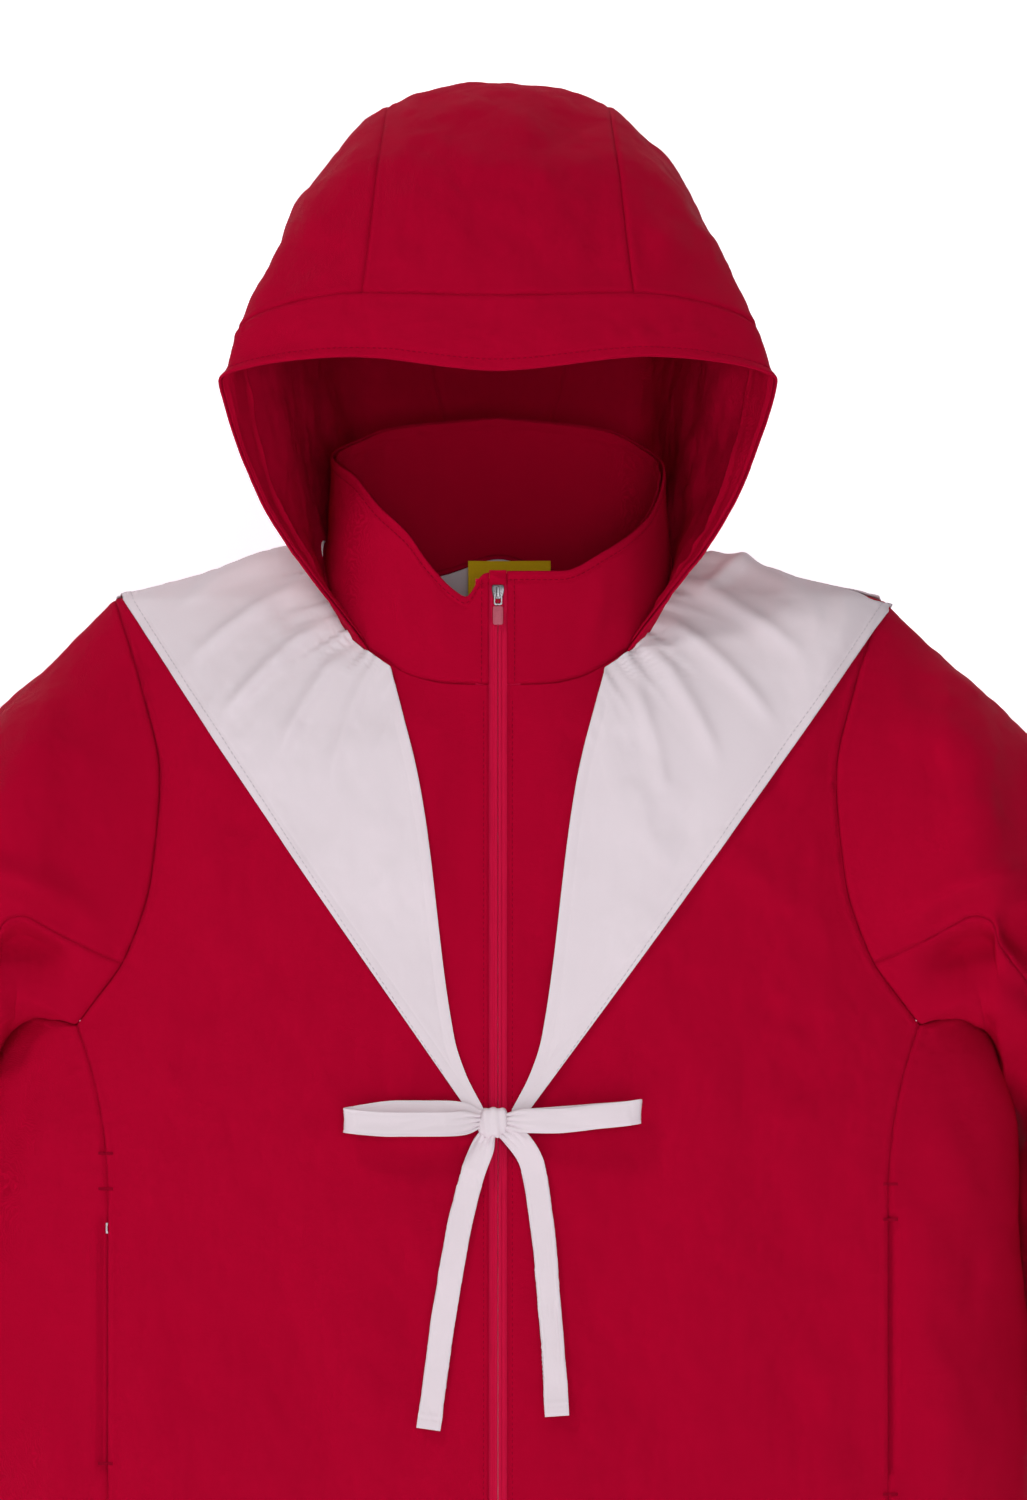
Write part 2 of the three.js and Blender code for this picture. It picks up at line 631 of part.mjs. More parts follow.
const hoodCurves = HOOD_COLUMNS.slice(1).map((_, column) =>
  ["x", "y", "z"].map((axis, k) => hoodCurve(column, k, neckOutside(NECK_END_ANGLES[column + 1])[axis])),
);
function hoodPoint(column, share) {
  const base = neckOutside(mix(HOOD_ATTACH, NECK_END_ANGLES[0], share));
  const knots = [base, ...hoodCurves.map((curves) => V(...curves.map((curve) => curve(share))))];
  const [x, y, z] = ["x", "y", "z"].map((axis) =>
    through([
      ...HOOD_COLUMNS.map((at, k) => [at, knots[k][axis]]),
      ...HOOD_COLUMNS.slice(0, -1)
        .reverse()
        .map((at, k) => [2 - at, knots[3 - k][axis] * (axis === "x" ? -1 : 1)]),
    ])(column),
  );
  return V(x, y, z);
}
const SIDE_SPLITS = [0, 0.1, 0.2, 0.3, 0.42, 0.55, 0.68, 0.8];
const MIDDLE_SPLITS = [0.8, 0.9, 1, 1.1, 1.2];
const HOOD_ROWS = [BRIM_SHARE, 0.16, 0.25, 0.35, 0.45, 0.55, 0.65, 0.75, 0.84, 0.92, 1];
const hoodGrid = (rows, columns) => rows.map((share) => columns.map((column) => hoodPoint(column, share)));
// Directions out of the hood, the same for every piece that meets there.
function hoodNormal(column, share) {
  const step = 0.01;
  const s = Math.min(1 - step, share);
  const c = Math.min(2 - step, Math.max(step, column));
  const back = hoodPoint(c, Math.min(1, s + step)).sub(hoodPoint(c, Math.max(0, s - step)));
  const over = hoodPoint(c + step, s).sub(hoodPoint(c - step, s));
  return back.cross(over).normalize();
}
const hoodNormals = (rows, columns) =>
  rows.map((share) => columns.map((column) => hoodNormal(column, share)));
function hoodCloth(rows, columns, outer, inner, sides) {
  const probe = hoodNormal(1, 0.45).z > 0 ? 1 : -1;
  const normals = outwards(hoodNormals(rows, columns), probe);
  return cloth(hoodGrid(rows, columns), normals, outer, inner, { sides });
}
const ARCH = [...SIDE_SPLITS, ...MIDDLE_SPLITS.slice(1), ...[...SIDE_SPLITS].reverse().slice(1).map((c) => 2 - c)];
const FACING_ARCH = [0.05, ...ARCH.slice(1, -1), 1.95]; // stops above the neck seam
const BRIM_ROWS = [0, BRIM_SHARE / 2, BRIM_SHARE];
add("hood_brim_band", hoodCloth(BRIM_ROWS, ARCH, 0, -CLOTH, ["last_row"]), SHELL_RED);
add(
  "hood_brim_facing",
  hoodCloth([0.003, BRIM_SHARE / 2, BRIM_SHARE - 0.003], FACING_ARCH, UNDER_SHELL - 0.3, UNDER_SHELL - 0.3 - THIN_CLOTH),
  SHELL_RED,
);
add(
  "hood_center_panel",
  hoodCloth(HOOD_ROWS, MIDDLE_SPLITS, 0, -CLOTH, ["first_row", "first_column", "last_column"]),
  SHELL_RED,
);
addPair(
  "hood_side_SIDE",
  (move, side) => {
    const columns = side === "left" ? SIDE_SPLITS : [...SIDE_SPLITS].reverse().map((c) => 2 - c);
    const seam = side === "left" ? "last_column" : "first_column";
    return hoodCloth(HOOD_ROWS, columns, 0, -CLOTH, ["first_row", seam]);
  },
  SHELL_RED,
);

// ---------- sleeves ----------
// Each station has its outer edge, its inner edge and its half-depth.
const SLEEVE_STATIONS = [
  [0.14, [300, -86], [314, -296], 84],
  [0.3, [372, -158], [323, -322], 80],
  [0.46, [436, -230], [330, -358], 74],
  [0.62, [468, -318], [338, -410], 68],
  [0.8, [476, -450], [350, -490], 58],
  [0.94, [474, -565], [362, -580], 49],
  [1, [471, -612], [365, -622], 46],
];
const frontArm = ARMHOLE_ZS.map((z) => V(armholeX(z), bodyY(armholeX(z), z, true), z));
const backArm = ARMHOLE_ZS.map((z) => V(armholeX(z), bodyY(armholeX(z), z, false), z));
const sideTop = sideGrid().pop();
const armhole = [
  V(SHOULDER_HALF_WIDTH, 0, -SHOULDER_DROP),
  ...frontArm,
  ...sideTop.slice(1, -1),
  ...[...backArm].reverse(),
];
const FRONT_TURNS = [14, 27, 45, 62, 82, 103, 120];
const SIDE_TURNS = [135, 157, 180, 203, 225];
const ARM_TURNS = [0, ...FRONT_TURNS, ...SIDE_TURNS, ...[...FRONT_TURNS].reverse().map((turn) => 360 - turn)];
const SLEEVE_CLEARANCE = 25; // from the hem's side to the sleeve
const hang = (share) => Math.max(0, HEM_HALF_WIDTH + SLEEVE_CLEARANCE - 360) * smooth(share);
const sleeveCurve = (pick) => through(SLEEVE_STATIONS.map((station) => [station[0], pick(station)]));
const outerX = sleeveCurve((s) => s[1][0]);
const outerZ = sleeveCurve((s) => s[1][1]);
const innerX = sleeveCurve((s) => s[2][0]);
const innerZ = sleeveCurve((s) => s[2][1]);
const sleeveDepth = sleeveCurve((s) => s[3]);
function sleeveLoop(share) {
  if (share === 0) return armhole;
  const outer = V(outerX(share) + hang(share), SLEEVE_BACK_SHIFT * smooth(share * 2), outerZ(share));
  const inner = V(innerX(share) + hang(share), SLEEVE_BACK_SHIFT * smooth(share * 2), innerZ(share));
  const middle = outer.clone().add(inner).multiplyScalar(0.5);
  const across = outer.clone().sub(middle);
  return ARM_TURNS.map((turn) => {
    const point = middle.clone().addScaledVector(across, Math.cos(radians(turn)));
    return point.add(V(0, -sleeveDepth(share) * Math.sin(radians(turn)), 0));
  });
}
const SLEEVE_ROWS = [0, 0.07, 0.14, 0.3, 0.46, 0.62, 0.8, 0.94];
const SLEEVE_SEAM_GAP = 1.35;
const CUFF_ROWS = [0.94, 0.97, 1];
const sleeveGrid = SLEEVE_ROWS.map((share) => {
  if (share !== 0.07) return sleeveLoop(share);
  return sleeveLoop(0).map((p, j) => p.clone().lerp(sleeveLoop(0.14)[j], 0.5));
});
const cuffGrid = CUFF_ROWS.map(sleeveLoop);
const tubeNormals = (grid) => {
  const normals = gridNormals(grid, true);
  const facing = grid[grid.length - 1][0].x > 0 === normals[grid.length - 1][0].x > 0;
  return facing ? normals : outwards(normals, -1);
};
const TOP_COLUMNS = [14, 15, 16, 17, 18, 19, 0, 1, 2, 3, 4, 5, 6];
const UNDER_COLUMNS = [6, 7, 8, 9, 10, 11, 12, 13, 14];
const pick = (grid, columns) => grid.map((row) => columns.map((column) => row[column]));
for (const [part, columns] of [
  ["top", TOP_COLUMNS],
  ["under", UNDER_COLUMNS],
]) {
  addPair(
    `sleeve_SIDE_${part}`,
    (move) => {
      const grid = mapGrid(sleeveGrid, move);
      return cloth(pick(grid, columns), pick(tubeNormals(grid), columns), 0, -CLOTH, {
        sides: ["first_row", "first_column", "last_column"],
        gap: SLEEVE_SEAM_GAP,
      });
    },
    SHELL_RED,
  );
}
addPair(
  "sleeve_SIDE_cuff",
  (move) => {
    const grid = mapGrid(cuffGrid, move);
    return cloth(grid, tubeNormals(grid), 0, -CLOTH, { closed: true, sides: ["first_row"] });
  },
  SHELL_RED,
);

// ---------- zip ----------
const ZIP_END_Z = HEM_Z + 4;
const ZIP_START_Z = collarTopZ(0) - 4;
const TAPE_Y = CLOTH + LAYER_GAP; // tape's front face behind the panels' front face
function strip(x0, x1, y0, y1, top, bottom) {
  const corners = [];
  for (const z of [bottom, top]) {
    for (const x of [x0, x1]) {
      corners.push(V(x, zipY(z) + y0, z), V(x, zipY(z) + y1, z));
    }
  }
  const faces = [[0, 1, 3, 2], [4, 6, 7, 5], [0, 4, 5, 1], [2, 3, 7, 6], [0, 2, 6, 4], [1, 5, 7, 3]];
  const triangles = faces.flatMap(([a, b, c, d]) => [
    [corners[a], corners[b], corners[c]],
    [corners[a], corners[c], corners[d]],
  ]);
  return solid(triangles);
}
const sided = (side, x0, x1) => (side === "left" ? [x0, x1] : [-x1, -x0]);
const COIL_Y = TAPE_Y + TAPE_THICKNESS + 0.3;
for (const side of ["left", "right"]) {
  const tape = sided(side, ZIP_SPLIT, TAPE_EDGE);
  const coil = sided(side, ZIP_SPLIT, ZIP_SPLIT + COIL_WIDTH);
  const stop = sided(side, ZIP_SPLIT, ZIP_SPLIT + 2);
  add(
    `zip_tape_${side}`,
    strip(...tape, TAPE_Y, TAPE_Y + TAPE_THICKNESS, ZIP_START_Z, ZIP_END_Z),
    TAPE_RED,
  );
  const coilTop = ZIP_START_Z - 4;
  add(
    `zip_coil_${side}`,
    strip(...coil, COIL_Y, COIL_Y + COIL_THICKNESS, coilTop, ZIP_END_Z + 14),
    COIL_RED,
  );
  add(
    `zip_top_stop_${side}`,
    strip(...stop, COIL_Y, COIL_Y + COIL_THICKNESS, ZIP_START_Z - 0.5, coilTop + 0.3),
    GUNMETAL,
  );
}
const boxTop = ZIP_END_Z + 13.6;
add("zip_box", strip(-3.4, 3.4, COIL_Y, COIL_Y + 2.4, boxTop - 5, ZIP_END_Z + 1), GUNMETAL);
add("zip_insertion_pin", strip(ZIP_SPLIT, 2.2, COIL_Y, COIL_Y + 1.5, boxTop, boxTop - 4.6), GUNMETAL);

const SLIDER_TOP_Z = -19.5;
const SLIDER_LENGTH = 9;
const SLIDER_HALF_WIDTH = 3.9;
const sliderEnd = SLIDER_TOP_Z - SLIDER_LENGTH;
const join = (...pieces) => geometryOf(pieces.map(manifoldOf).reduce((a, b) => a.add(b)));
const slider = new THREE.Group();
slider.name = "slider";
jacket.add(slider);
add(
  "slider_body",
  join(
    strip(-SLIDER_HALF_WIDTH, SLIDER_HALF_WIDTH, -0.4, TAPE_Y - 0.4, SLIDER_TOP_Z, sliderEnd),
    strip(-0.28, 0.28, 0, COIL_Y + 3, SLIDER_TOP_Z, SLIDER_TOP_Z - 4),
    strip(
      -SLIDER_HALF_WIDTH,
      SLIDER_HALF_WIDTH,
      COIL_Y + COIL_THICKNESS + 0.4,
      COIL_Y + COIL_THICKNESS + 1.6,
      SLIDER_TOP_Z,
      sliderEnd,
    ),
  ),
  GUNMETAL,
  slider,
);
// The bridge that holds the link: two feet with a bar over them.
add(
  "slider_bridge",
  join(
    strip(-1, 1, -1.9, -0.7, SLIDER_TOP_Z - 1, SLIDER_TOP_Z - 2.2),
    strip(-1, 1, -2.9, -1.8, SLIDER_TOP_Z - 1, sliderEnd + 1),
    strip(-1, 1, -1.9, -0.7, sliderEnd + 2.2, sliderEnd + 1),
  ),
  GUNMETAL,
  slider,
);
const puller = new THREE.Group();
puller.name = "puller";
jacket.add(puller);
const LINK_TOP = sliderEnd + 4;
const TAB_TOP = sliderEnd - 4.5;
const TAB_LENGTH = 11.5;
add(
  "puller_link",
  cut(
    strip(-2.6, 2.6, -1.5, -0.8, LINK_TOP, TAB_TOP + 0.6),
    strip(-1.5, 1.5, -3, 1, LINK_TOP - 1.1, TAB_TOP + 2),
  ),
  GUNMETAL,
  puller,
);
add(
  "puller_tab",
  strip(-3.1, 3.1, -2, -0.3, TAB_TOP + 0.2, TAB_TOP - TAB_LENGTH),
  PULLER_RED,
  puller,
);
const garageTop = collarTopZ(0) + 0.5;
add("zip_garage", strip(-5.2, 5.2, -0.9, 0.9, garageTop, SLIDER_TOP_Z + 1.5), SHELL_RED);

// ---------- sailor collar ----------
const WING_NECK = [95, 90, 83, 74, 66, 58, 50, 43, 37];
const NECK_LIFT = 0.9; // under surface above the body, where the collar is sewn in
const SHOULDER_LIFT = 8;
const CHEST_LIFT = 5;
const TIP_LIFT = 2.2;
const KNOT_Y = zipY(KNOT_Z) - KNOT_HALF_DEPTH - 0.6;
const TIP_X = KNOT_HALF_WIDTH + 0.4;
const wingInnerX = through([
  [KNOT_Z + TIE_WIDTH / 2, TIP_X],
  [-300, 26],
  [-144, 48],
  [-66, 67],
]);
const cornerPoint = V(SHOULDER_HALF_WIDTH - 3, 0, -SHOULDER_DROP + 1);
const NECK_MARGIN = 4.5; // from the neck seam, down the cloth, to the collar's sewn edge
function neckEdge(angle) {
  const p = neckPoint(angle);
  const along = neckPoint(Math.min(180, angle + 1)).sub(neckPoint(angle - 1));
  const away = along.cross(bodyNormal(p)).normalize();
  if (away.x * p.x * 0.01 - away.z < 0) away.negate();
  return p.addScaledVector(away, NECK_MARGIN);
}
const onFront = (x, z) => V(x, bodyY(x, Math.min(z, ridgeZ(x) - 0.5), true), z);
function wingGrid() {
  const inner = WING_NECK.map(neckEdge);
  const tipZ = KNOT_Z + TIE_WIDTH / 2;
  for (const share of [0.3, 0.6, 0.86, 1]) {
    const z = mix(inner[WING_NECK.length - 1].z, tipZ, share);
    inner.push(V(wingInnerX(z), 0, z));
  }
  const outerEnd = V(TIP_X, 0, KNOT_Z - TIE_WIDTH / 2);
  return inner.map((p, i) => {
    const share = (i / (inner.length - 1)) ** 1.15;
    const q = cornerPoint.clone().lerp(outerEnd, share);
    return [0, 0.25, 0.5, 0.75, 1].map((across) => {
      const [x, z] = [mix(p.x, q.x, across), mix(p.z, q.z, across)];
      if (across === 0 && i < WING_NECK.length) return p.clone();
      return i === 0 ? V(x, 0, z) : onFront(x, z);
    });
  });
}
function wingLift(i, j) {
  if (i < WING_NECK.length) return j === 0 ? NECK_LIFT : SHOULDER_LIFT;
  return i < WING_NECK.length + 3 ? CHEST_LIFT : TIP_LIFT;
}
addPair(
  "sailor_collar_SIDE",
  (move) => {
    const grid = mapGrid(wingGrid(), move);
    return cloth(grid, bodyNormals(grid), (i, j) => wingLift(i, j) + TIE_THICKNESS, wingLift, {
      sides: ["first_row"],
    });
  },
  TIE_GREY,
);
const flapOutline = [
  [95, cornerPoint],
  [98, V(235, 0, -38)],
  [103, V(233, 0, -58)],
  [112, V(227, 0, -100)],
  [122, V(219, 0, -FLAP_DEPTH + 35)],
  [132, V(214, 0, -FLAP_DEPTH - 6)],
  [145, V(150, 0, -FLAP_DEPTH - 9)],
  [162, V(75, 0, -FLAP_DEPTH - 11)],
  [180, V(0, 0, -FLAP_DEPTH - 12)],
];
const flapHalf = [0, 0.25, 0.5, 0.75, 1].map((out) =>
  flapOutline.map(([angle, end], j) => {
    const p = neckEdge(angle).lerp(end, out);
    if (out === 0) return p;
    return V(p.x, j === 0 ? 0 : bodyY(p.x, Math.min(p.z, ridgeZ(p.x) - 0.5), false), p.z);
  }),
);
const flapGrid = flapHalf.map((row) => [...row, ...row.slice(0, -1).reverse().map(mirrored)]);
const flapLift = (i) => (i === 0 ? NECK_LIFT : SHOULDER_LIFT);
add(
  "sailor_collar_back",
  cloth(flapGrid, bodyNormals(flapGrid), (i) => flapLift(i) + TIE_THICKNESS, flapLift, {
    sides: ["first_column", "last_column"],
  }),
  TIE_GREY,
);

// ---------- tie ----------
const ball = new THREE.SphereGeometry(1, 16, 12);
const spots = ball.getAttribute("position");
const boxy = (t) => Math.sign(t) * Math.abs(t) ** 0.6;
for (let i = 0; i < spots.count; i++) {
  spots.setXYZ(
    i,
    boxy(spots.getX(i)) * KNOT_HALF_WIDTH,
    boxy(spots.getY(i)) * KNOT_HALF_DEPTH + KNOT_Y,
    boxy(spots.getZ(i)) * KNOT_HALF_HEIGHT + KNOT_Z,
  );
}
add("bow_knot", ball, TIE_GREY);

function ribbon(points, across) {
  const half = across.clone().multiplyScalar(TIE_WIDTH / 2);
  const grid = points.map((p) => [p.clone().sub(half), p.clone().add(half)]);
  return cloth(grid, gridNormals(grid), TIE_THICKNESS / 2, -TIE_THICKNESS / 2);
}
const LOOP_DROOP = 0.06;
const loopPath = [
  [TIP_X + 0.1, -3.2],
  [0.4 * LOOP_LENGTH, -11],
  [0.65 * LOOP_LENGTH, -13],
  [0.88 * LOOP_LENGTH, -12.5],
  [0.98 * LOOP_LENGTH, -9.5],
  [LOOP_LENGTH, -6],
  [0.96 * LOOP_LENGTH, -2.5],
  [0.8 * LOOP_LENGTH, -0.6],
  [0.45 * LOOP_LENGTH, 0],
  [TIP_X + 0.1, 0.8],
];
addPair(
  "bow_loop_SIDE",
  (move) => {
    const points = loopPath.map(([x, y]) => move(V(x, KNOT_Y + y, KNOT_Z - LOOP_DROOP * x)));
    return ribbon(points, V(0, 0, 1));
  },
  TIE_GREY,
);
addPair(
  "bow_tail_SIDE",
  (move) => {
    const points = [0, 0.12, 0.3, 0.5, 0.75, 1].map((share) => {
      const x = mix(TIE_WIDTH / 2 + 1, 40, share ** 0.8);
      const z = KNOT_Z - KNOT_HALF_HEIGHT - 0.4 - TAIL_LENGTH * share;
      return move(V(x, mix(KNOT_Y, zipY(z) - 3, smooth(share * 3)), z));
    });
    return ribbon(points, move(V(1, 0, 0)));
  },
  TIE_GREY,
);

export default jacket;
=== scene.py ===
import math

import bmesh
import bpy
import numpy as np
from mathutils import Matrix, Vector


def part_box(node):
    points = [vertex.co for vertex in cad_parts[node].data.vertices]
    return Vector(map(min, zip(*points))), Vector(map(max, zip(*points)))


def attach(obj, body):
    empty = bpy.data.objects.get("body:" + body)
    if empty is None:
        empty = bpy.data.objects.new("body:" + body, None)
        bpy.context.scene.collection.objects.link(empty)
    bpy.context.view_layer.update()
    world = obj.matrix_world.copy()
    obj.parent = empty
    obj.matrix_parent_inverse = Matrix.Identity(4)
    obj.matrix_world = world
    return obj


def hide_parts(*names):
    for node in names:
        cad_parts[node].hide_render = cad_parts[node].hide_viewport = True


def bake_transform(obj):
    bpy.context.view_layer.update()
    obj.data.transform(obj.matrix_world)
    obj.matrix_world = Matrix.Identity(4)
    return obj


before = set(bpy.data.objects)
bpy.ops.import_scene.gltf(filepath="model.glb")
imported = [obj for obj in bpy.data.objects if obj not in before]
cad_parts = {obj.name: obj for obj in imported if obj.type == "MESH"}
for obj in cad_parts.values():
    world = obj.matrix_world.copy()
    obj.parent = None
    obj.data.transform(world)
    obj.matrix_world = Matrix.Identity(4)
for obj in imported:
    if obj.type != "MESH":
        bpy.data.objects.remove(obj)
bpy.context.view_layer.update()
MM = 0.001
SIDES = (("left", 1), ("right", -1))


def through(points):
    """A smooth curve through given points (input, value), without overshoot."""
    xs, ys = (np.array(v, float) for v in zip(*points))
    h = np.diff(xs)
    slope = np.diff(ys) / h
    tangent = np.zeros(len(xs))
    tangent[0], tangent[-1] = slope[0], slope[-1]
    a, b = slope[:-1], slope[1:]
    same = a * b > 0
    tangent[1:-1] = np.where(same, 2 * a * b / np.where(same, a + b, 1), 0)

    def curve(x):
        x = np.asarray(x, float)
        i = np.clip(np.searchsorted(xs, x) - 1, 0, len(h) - 1)
        t = (x - xs[i]) / h[i]
        inside = np.clip(t, 0, 1)
        t2, t3 = inside**2, inside**3
        y = (
            ys[i] * (2 * t3 - 3 * t2 + 1)
            + ys[i + 1] * (3 * t2 - 2 * t3)
            + tangent[i] * h[i] * (t3 - 2 * t2 + inside)
            + tangent[i + 1] * h[i] * (t3 - t2)
        )
        y = y + np.where(t < 0, tangent[0] * t * h[i], 0)
        return y + np.where(t > 1, tangent[-1] * (t - 1) * h[i], 0)

    return curve


def mix(a, b, t):
    return a + (b - a) * t


def flip(g):
    return g * np.array([-1, 1, 1])


def smooth(t):
    t = np.clip(t, 0, 1)
    return t * t * (3 - 2 * t)


# ---------- noise ----------
def lattice(ix, iy, iz, seed):
    n = (ix * 374761393 + iy * 668265263 + iz * 2147483647 + seed * 1274126177) & 0xFFFFFFFF
    n = ((n ^ (n >> 13)) * 1274126177) & 0xFFFFFFFF
    return ((n ^ (n >> 16)) & 0xFFFF) / 32767.5 - 1


def noise(p, seed=0):
    """Smooth value noise from -1 to 1 at points p (n, 3)."""
    p = np.asarray(p, float)
    base = np.floor(p).astype(np.int64)
    f = p - base
    f = f * f * f * (f * (f * 6 - 15) + 10)
    total = 0
    for dx in (0, 1):
        for dy in (0, 1):
            for dz in (0, 1):
                w = (
                    (f[..., 0] if dx else 1 - f[..., 0])
                    * (f[..., 1] if dy else 1 - f[..., 1])
                    * (f[..., 2] if dz else 1 - f[..., 2])
                )
                corner = (base[..., 0] + dx, base[..., 1] + dy, base[..., 2] + dz)
                total = total + w * lattice(*corner, seed)
    return total


def folds(p, size, seed=0, octaves=3):
    total, strength = 0, 1
    for i in range(octaves):
        total = total + strength * noise(p / size * 2**i + 17.3 * i, seed + i)
        strength *= 0.5
    return total


# ---------- sizes, in mm, read from the frame where the CAD holds them ----------
def cad(node):
    low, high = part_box(node)
    return np.array(low) / MM, np.array(high) / MM


HEM_Z = cad("back_panel")[0][2]
SHOULDER_HALF_WIDTH, SHOULDER_DROP, ROUNDNESS = 240, 28, 2.5
ZIP_OPENING = cad("front_panel_left")[0][0]
NECK_HALF_WIDTH, COLLAR_TOP_HALF_WIDTH = 108, 104
NECK_BACK_Y, NECK_FRONT_DROP = 62, 81
COLLAR_FRONT_TOP = -11
UNDERARM_Z, PRINCESS_X, PRINCESS_TOP_Z = -283, 242, -293
POCKET_TOP_Z, POCKET_BOTTOM_Z = -405, -575
RIDGE_SLOPE = (SHOULDER_HALF_WIDTH - 104) / (SHOULDER_DROP + 6)

below_shoulder = through(
    [(-660, 335), (-450, 329), (-360, 325), (-310, 312), (-280, 300), (-180, 276), (-60, 250), (-28, 240)]
)
front_depth = through(
    [(-660, 100), (-400, 96), (-250, 92), (-180, 88), (-120, 80), (-81, 69), (-40, 47), (-10, 19), (6, 2)]
)
back_depth = through(
    [(-660, 92), (-400, 86), (-180, 90), (-110, 87), (-70, 77), (-30, 53), (-8, 28), (6, 6)]
)
back_neck_depth = through([(-660, 92), (-160, 91), (-60, 80), (0, 62), (6, 60)])


def zip_y(z):
    return -80 + 0.041 * (z - COLLAR_FRONT_TOP)


def half_width(z):
    above_shoulder = SHOULDER_HALF_WIDTH - RIDGE_SLOPE * (z + SHOULDER_DROP)
    return np.where(z < -SHOULDER_DROP, below_shoulder(z), above_shoulder)


def ridge_z(x):
    return -SHOULDER_DROP + (SHOULDER_HALF_WIDTH - x) / RIDGE_SLOPE


def bell(x, flat, spread):
    return np.exp(-((np.maximum(0, np.abs(x) - flat) / spread) ** 2))


def depth_at(x, z, front):
    f = mix(front_depth(z), -zip_y(z), bell(x, 16, 52))
    b = mix(back_depth(z), back_neck_depth(z), bell(x, 0, 75))
    return np.where(front, f, b)


def body_y(x, z, front):
    share = np.maximum(0, 1 - (np.abs(x) / half_width(z)) ** ROUNDNESS) ** (1 / ROUNDNESS)
    return np.where(front, -1, 1) * depth_at(x, z, front) * share


def body_normal(p):
    def value(q):
        x, y, z = q[..., 0], q[..., 1], q[..., 2]
        return (np.abs(x) / half_width(z)) ** ROUNDNESS + (np.abs(y) / depth_at(x, z, y < 0)) ** ROUNDNESS

    n = np.stack([value(p + d) - value(p - d) for d in np.eye(3) * 0.5], -1)
    return n / np.maximum(1e-9, np.linalg.norm(n, axis=-1, keepdims=True))


def on_body(x, z, front):
    x, z = np.broadcast_arrays(np.asarray(x, float), np.asarray(z, float))
    return np.stack([x, body_y(x, z, front), z], -1)


# ---------- neck and collar ----------
def round_from(a):
    return np.cos(np.radians(np.maximum(0, a - 8) * 180 / 172))


front_neck_z = through([(0, -82), (17, -81), (28, -77), (36, -71), (48, -57), (62, -38), (80, -10)])


def neck_point(a):
    """The neck seam at angle a, 0 at the centre front and 180 at the centre back."""
    a = np.asarray(a, float)
    x = NECK_HALF_WIDTH * np.sin(np.radians(a))
    y = mix(zip_y(-NECK_FRONT_DROP), NECK_BACK_Y, (1 - round_from(a)) / 2)
    low, high = np.full_like(x, -2.0 * NECK_FRONT_DROP), ridge_z(x)
    for _ in range(40):
        z = (low + high) / 2
        out = np.abs(body_y(x, z, y < 0)) > np.abs(y)
        low, high = np.where(out, z, low), np.where(out, high, z)
    z = (low + high) / 2
    share = smooth((a - 36) / 26)
    z = mix(front_neck_z(a), z, share)
    y = np.where(share < 1, mix(body_y(x, z, True), y, share), y)
    return np.stack([x, y, z], -1)


collar_top_z = through(
    [(0, -11), (22, -11), (40, 2), (63, 22), (90, 52), (118, 68), (140, 80), (180, 88)]
)
# One side of the collar's opening has slumped below the other.
collar_slumped_z = through(
    [
        (0, -11), (5, -13), (11, -27), (15, -23), (24, -7), (33, 13),
        (45, 29), (61, 50), (90, 62), (118, 71), (140, 81), (180, 88),
    ]
)


def collar_top(a, slumped=False):
    x = COLLAR_TOP_HALF_WIDTH * np.sin(np.radians(a))
    z = np.where(slumped, collar_slumped_z(a), collar_top_z(a))
    return np.stack([x, mix(-80, NECK_BACK_Y - 2, (1 - round_from(a)) / 2), z], -1)


# ---------- meshes ----------
SCENE = bpy.context.scene


def mesh_from(name, points, faces, material, smooth_faces=True):
    mesh = bpy.data.meshes.new(name)
    mesh.vertices.add(len(points))
    mesh.vertices.foreach_set("co", (np.asarray(points, float) * MM).ravel())
    faces = np.asarray(faces, np.int32)
    mesh.loops.add(faces.size)
    mesh.loops.foreach_set("vertex_index", faces.ravel())
    mesh.polygons.add(len(faces))
    mesh.polygons.foreach_set("loop_start", np.arange(0, faces.size, faces.shape[1], dtype=np.int32))
    mesh.update(calc_edges=True)
    mesh.polygons.foreach_set("use_smooth", np.full(len(faces), smooth_faces))
    mesh.materials.append(material)
    obj = bpy.data.objects.new(name, mesh)
    SCENE.collection.objects.link(obj)
    return obj


def for_side(g, mirror):
    """The grid as it is for the left side, or mirrored across the zip for the right."""
    return g if mirror > 0 else flip(g)


def grid_normals(g, closed=False):
    down = np.gradient(g, axis=0)
    if closed:
        across = np.roll(g, -1, axis=1) - np.roll(g, 1, axis=1)
    else:
        across = np.gradient(g, axis=1)
    n = np.cross(across, down)
    return n / np.maximum(1e-9, np.linalg.norm(n, axis=-1, keepdims=True))


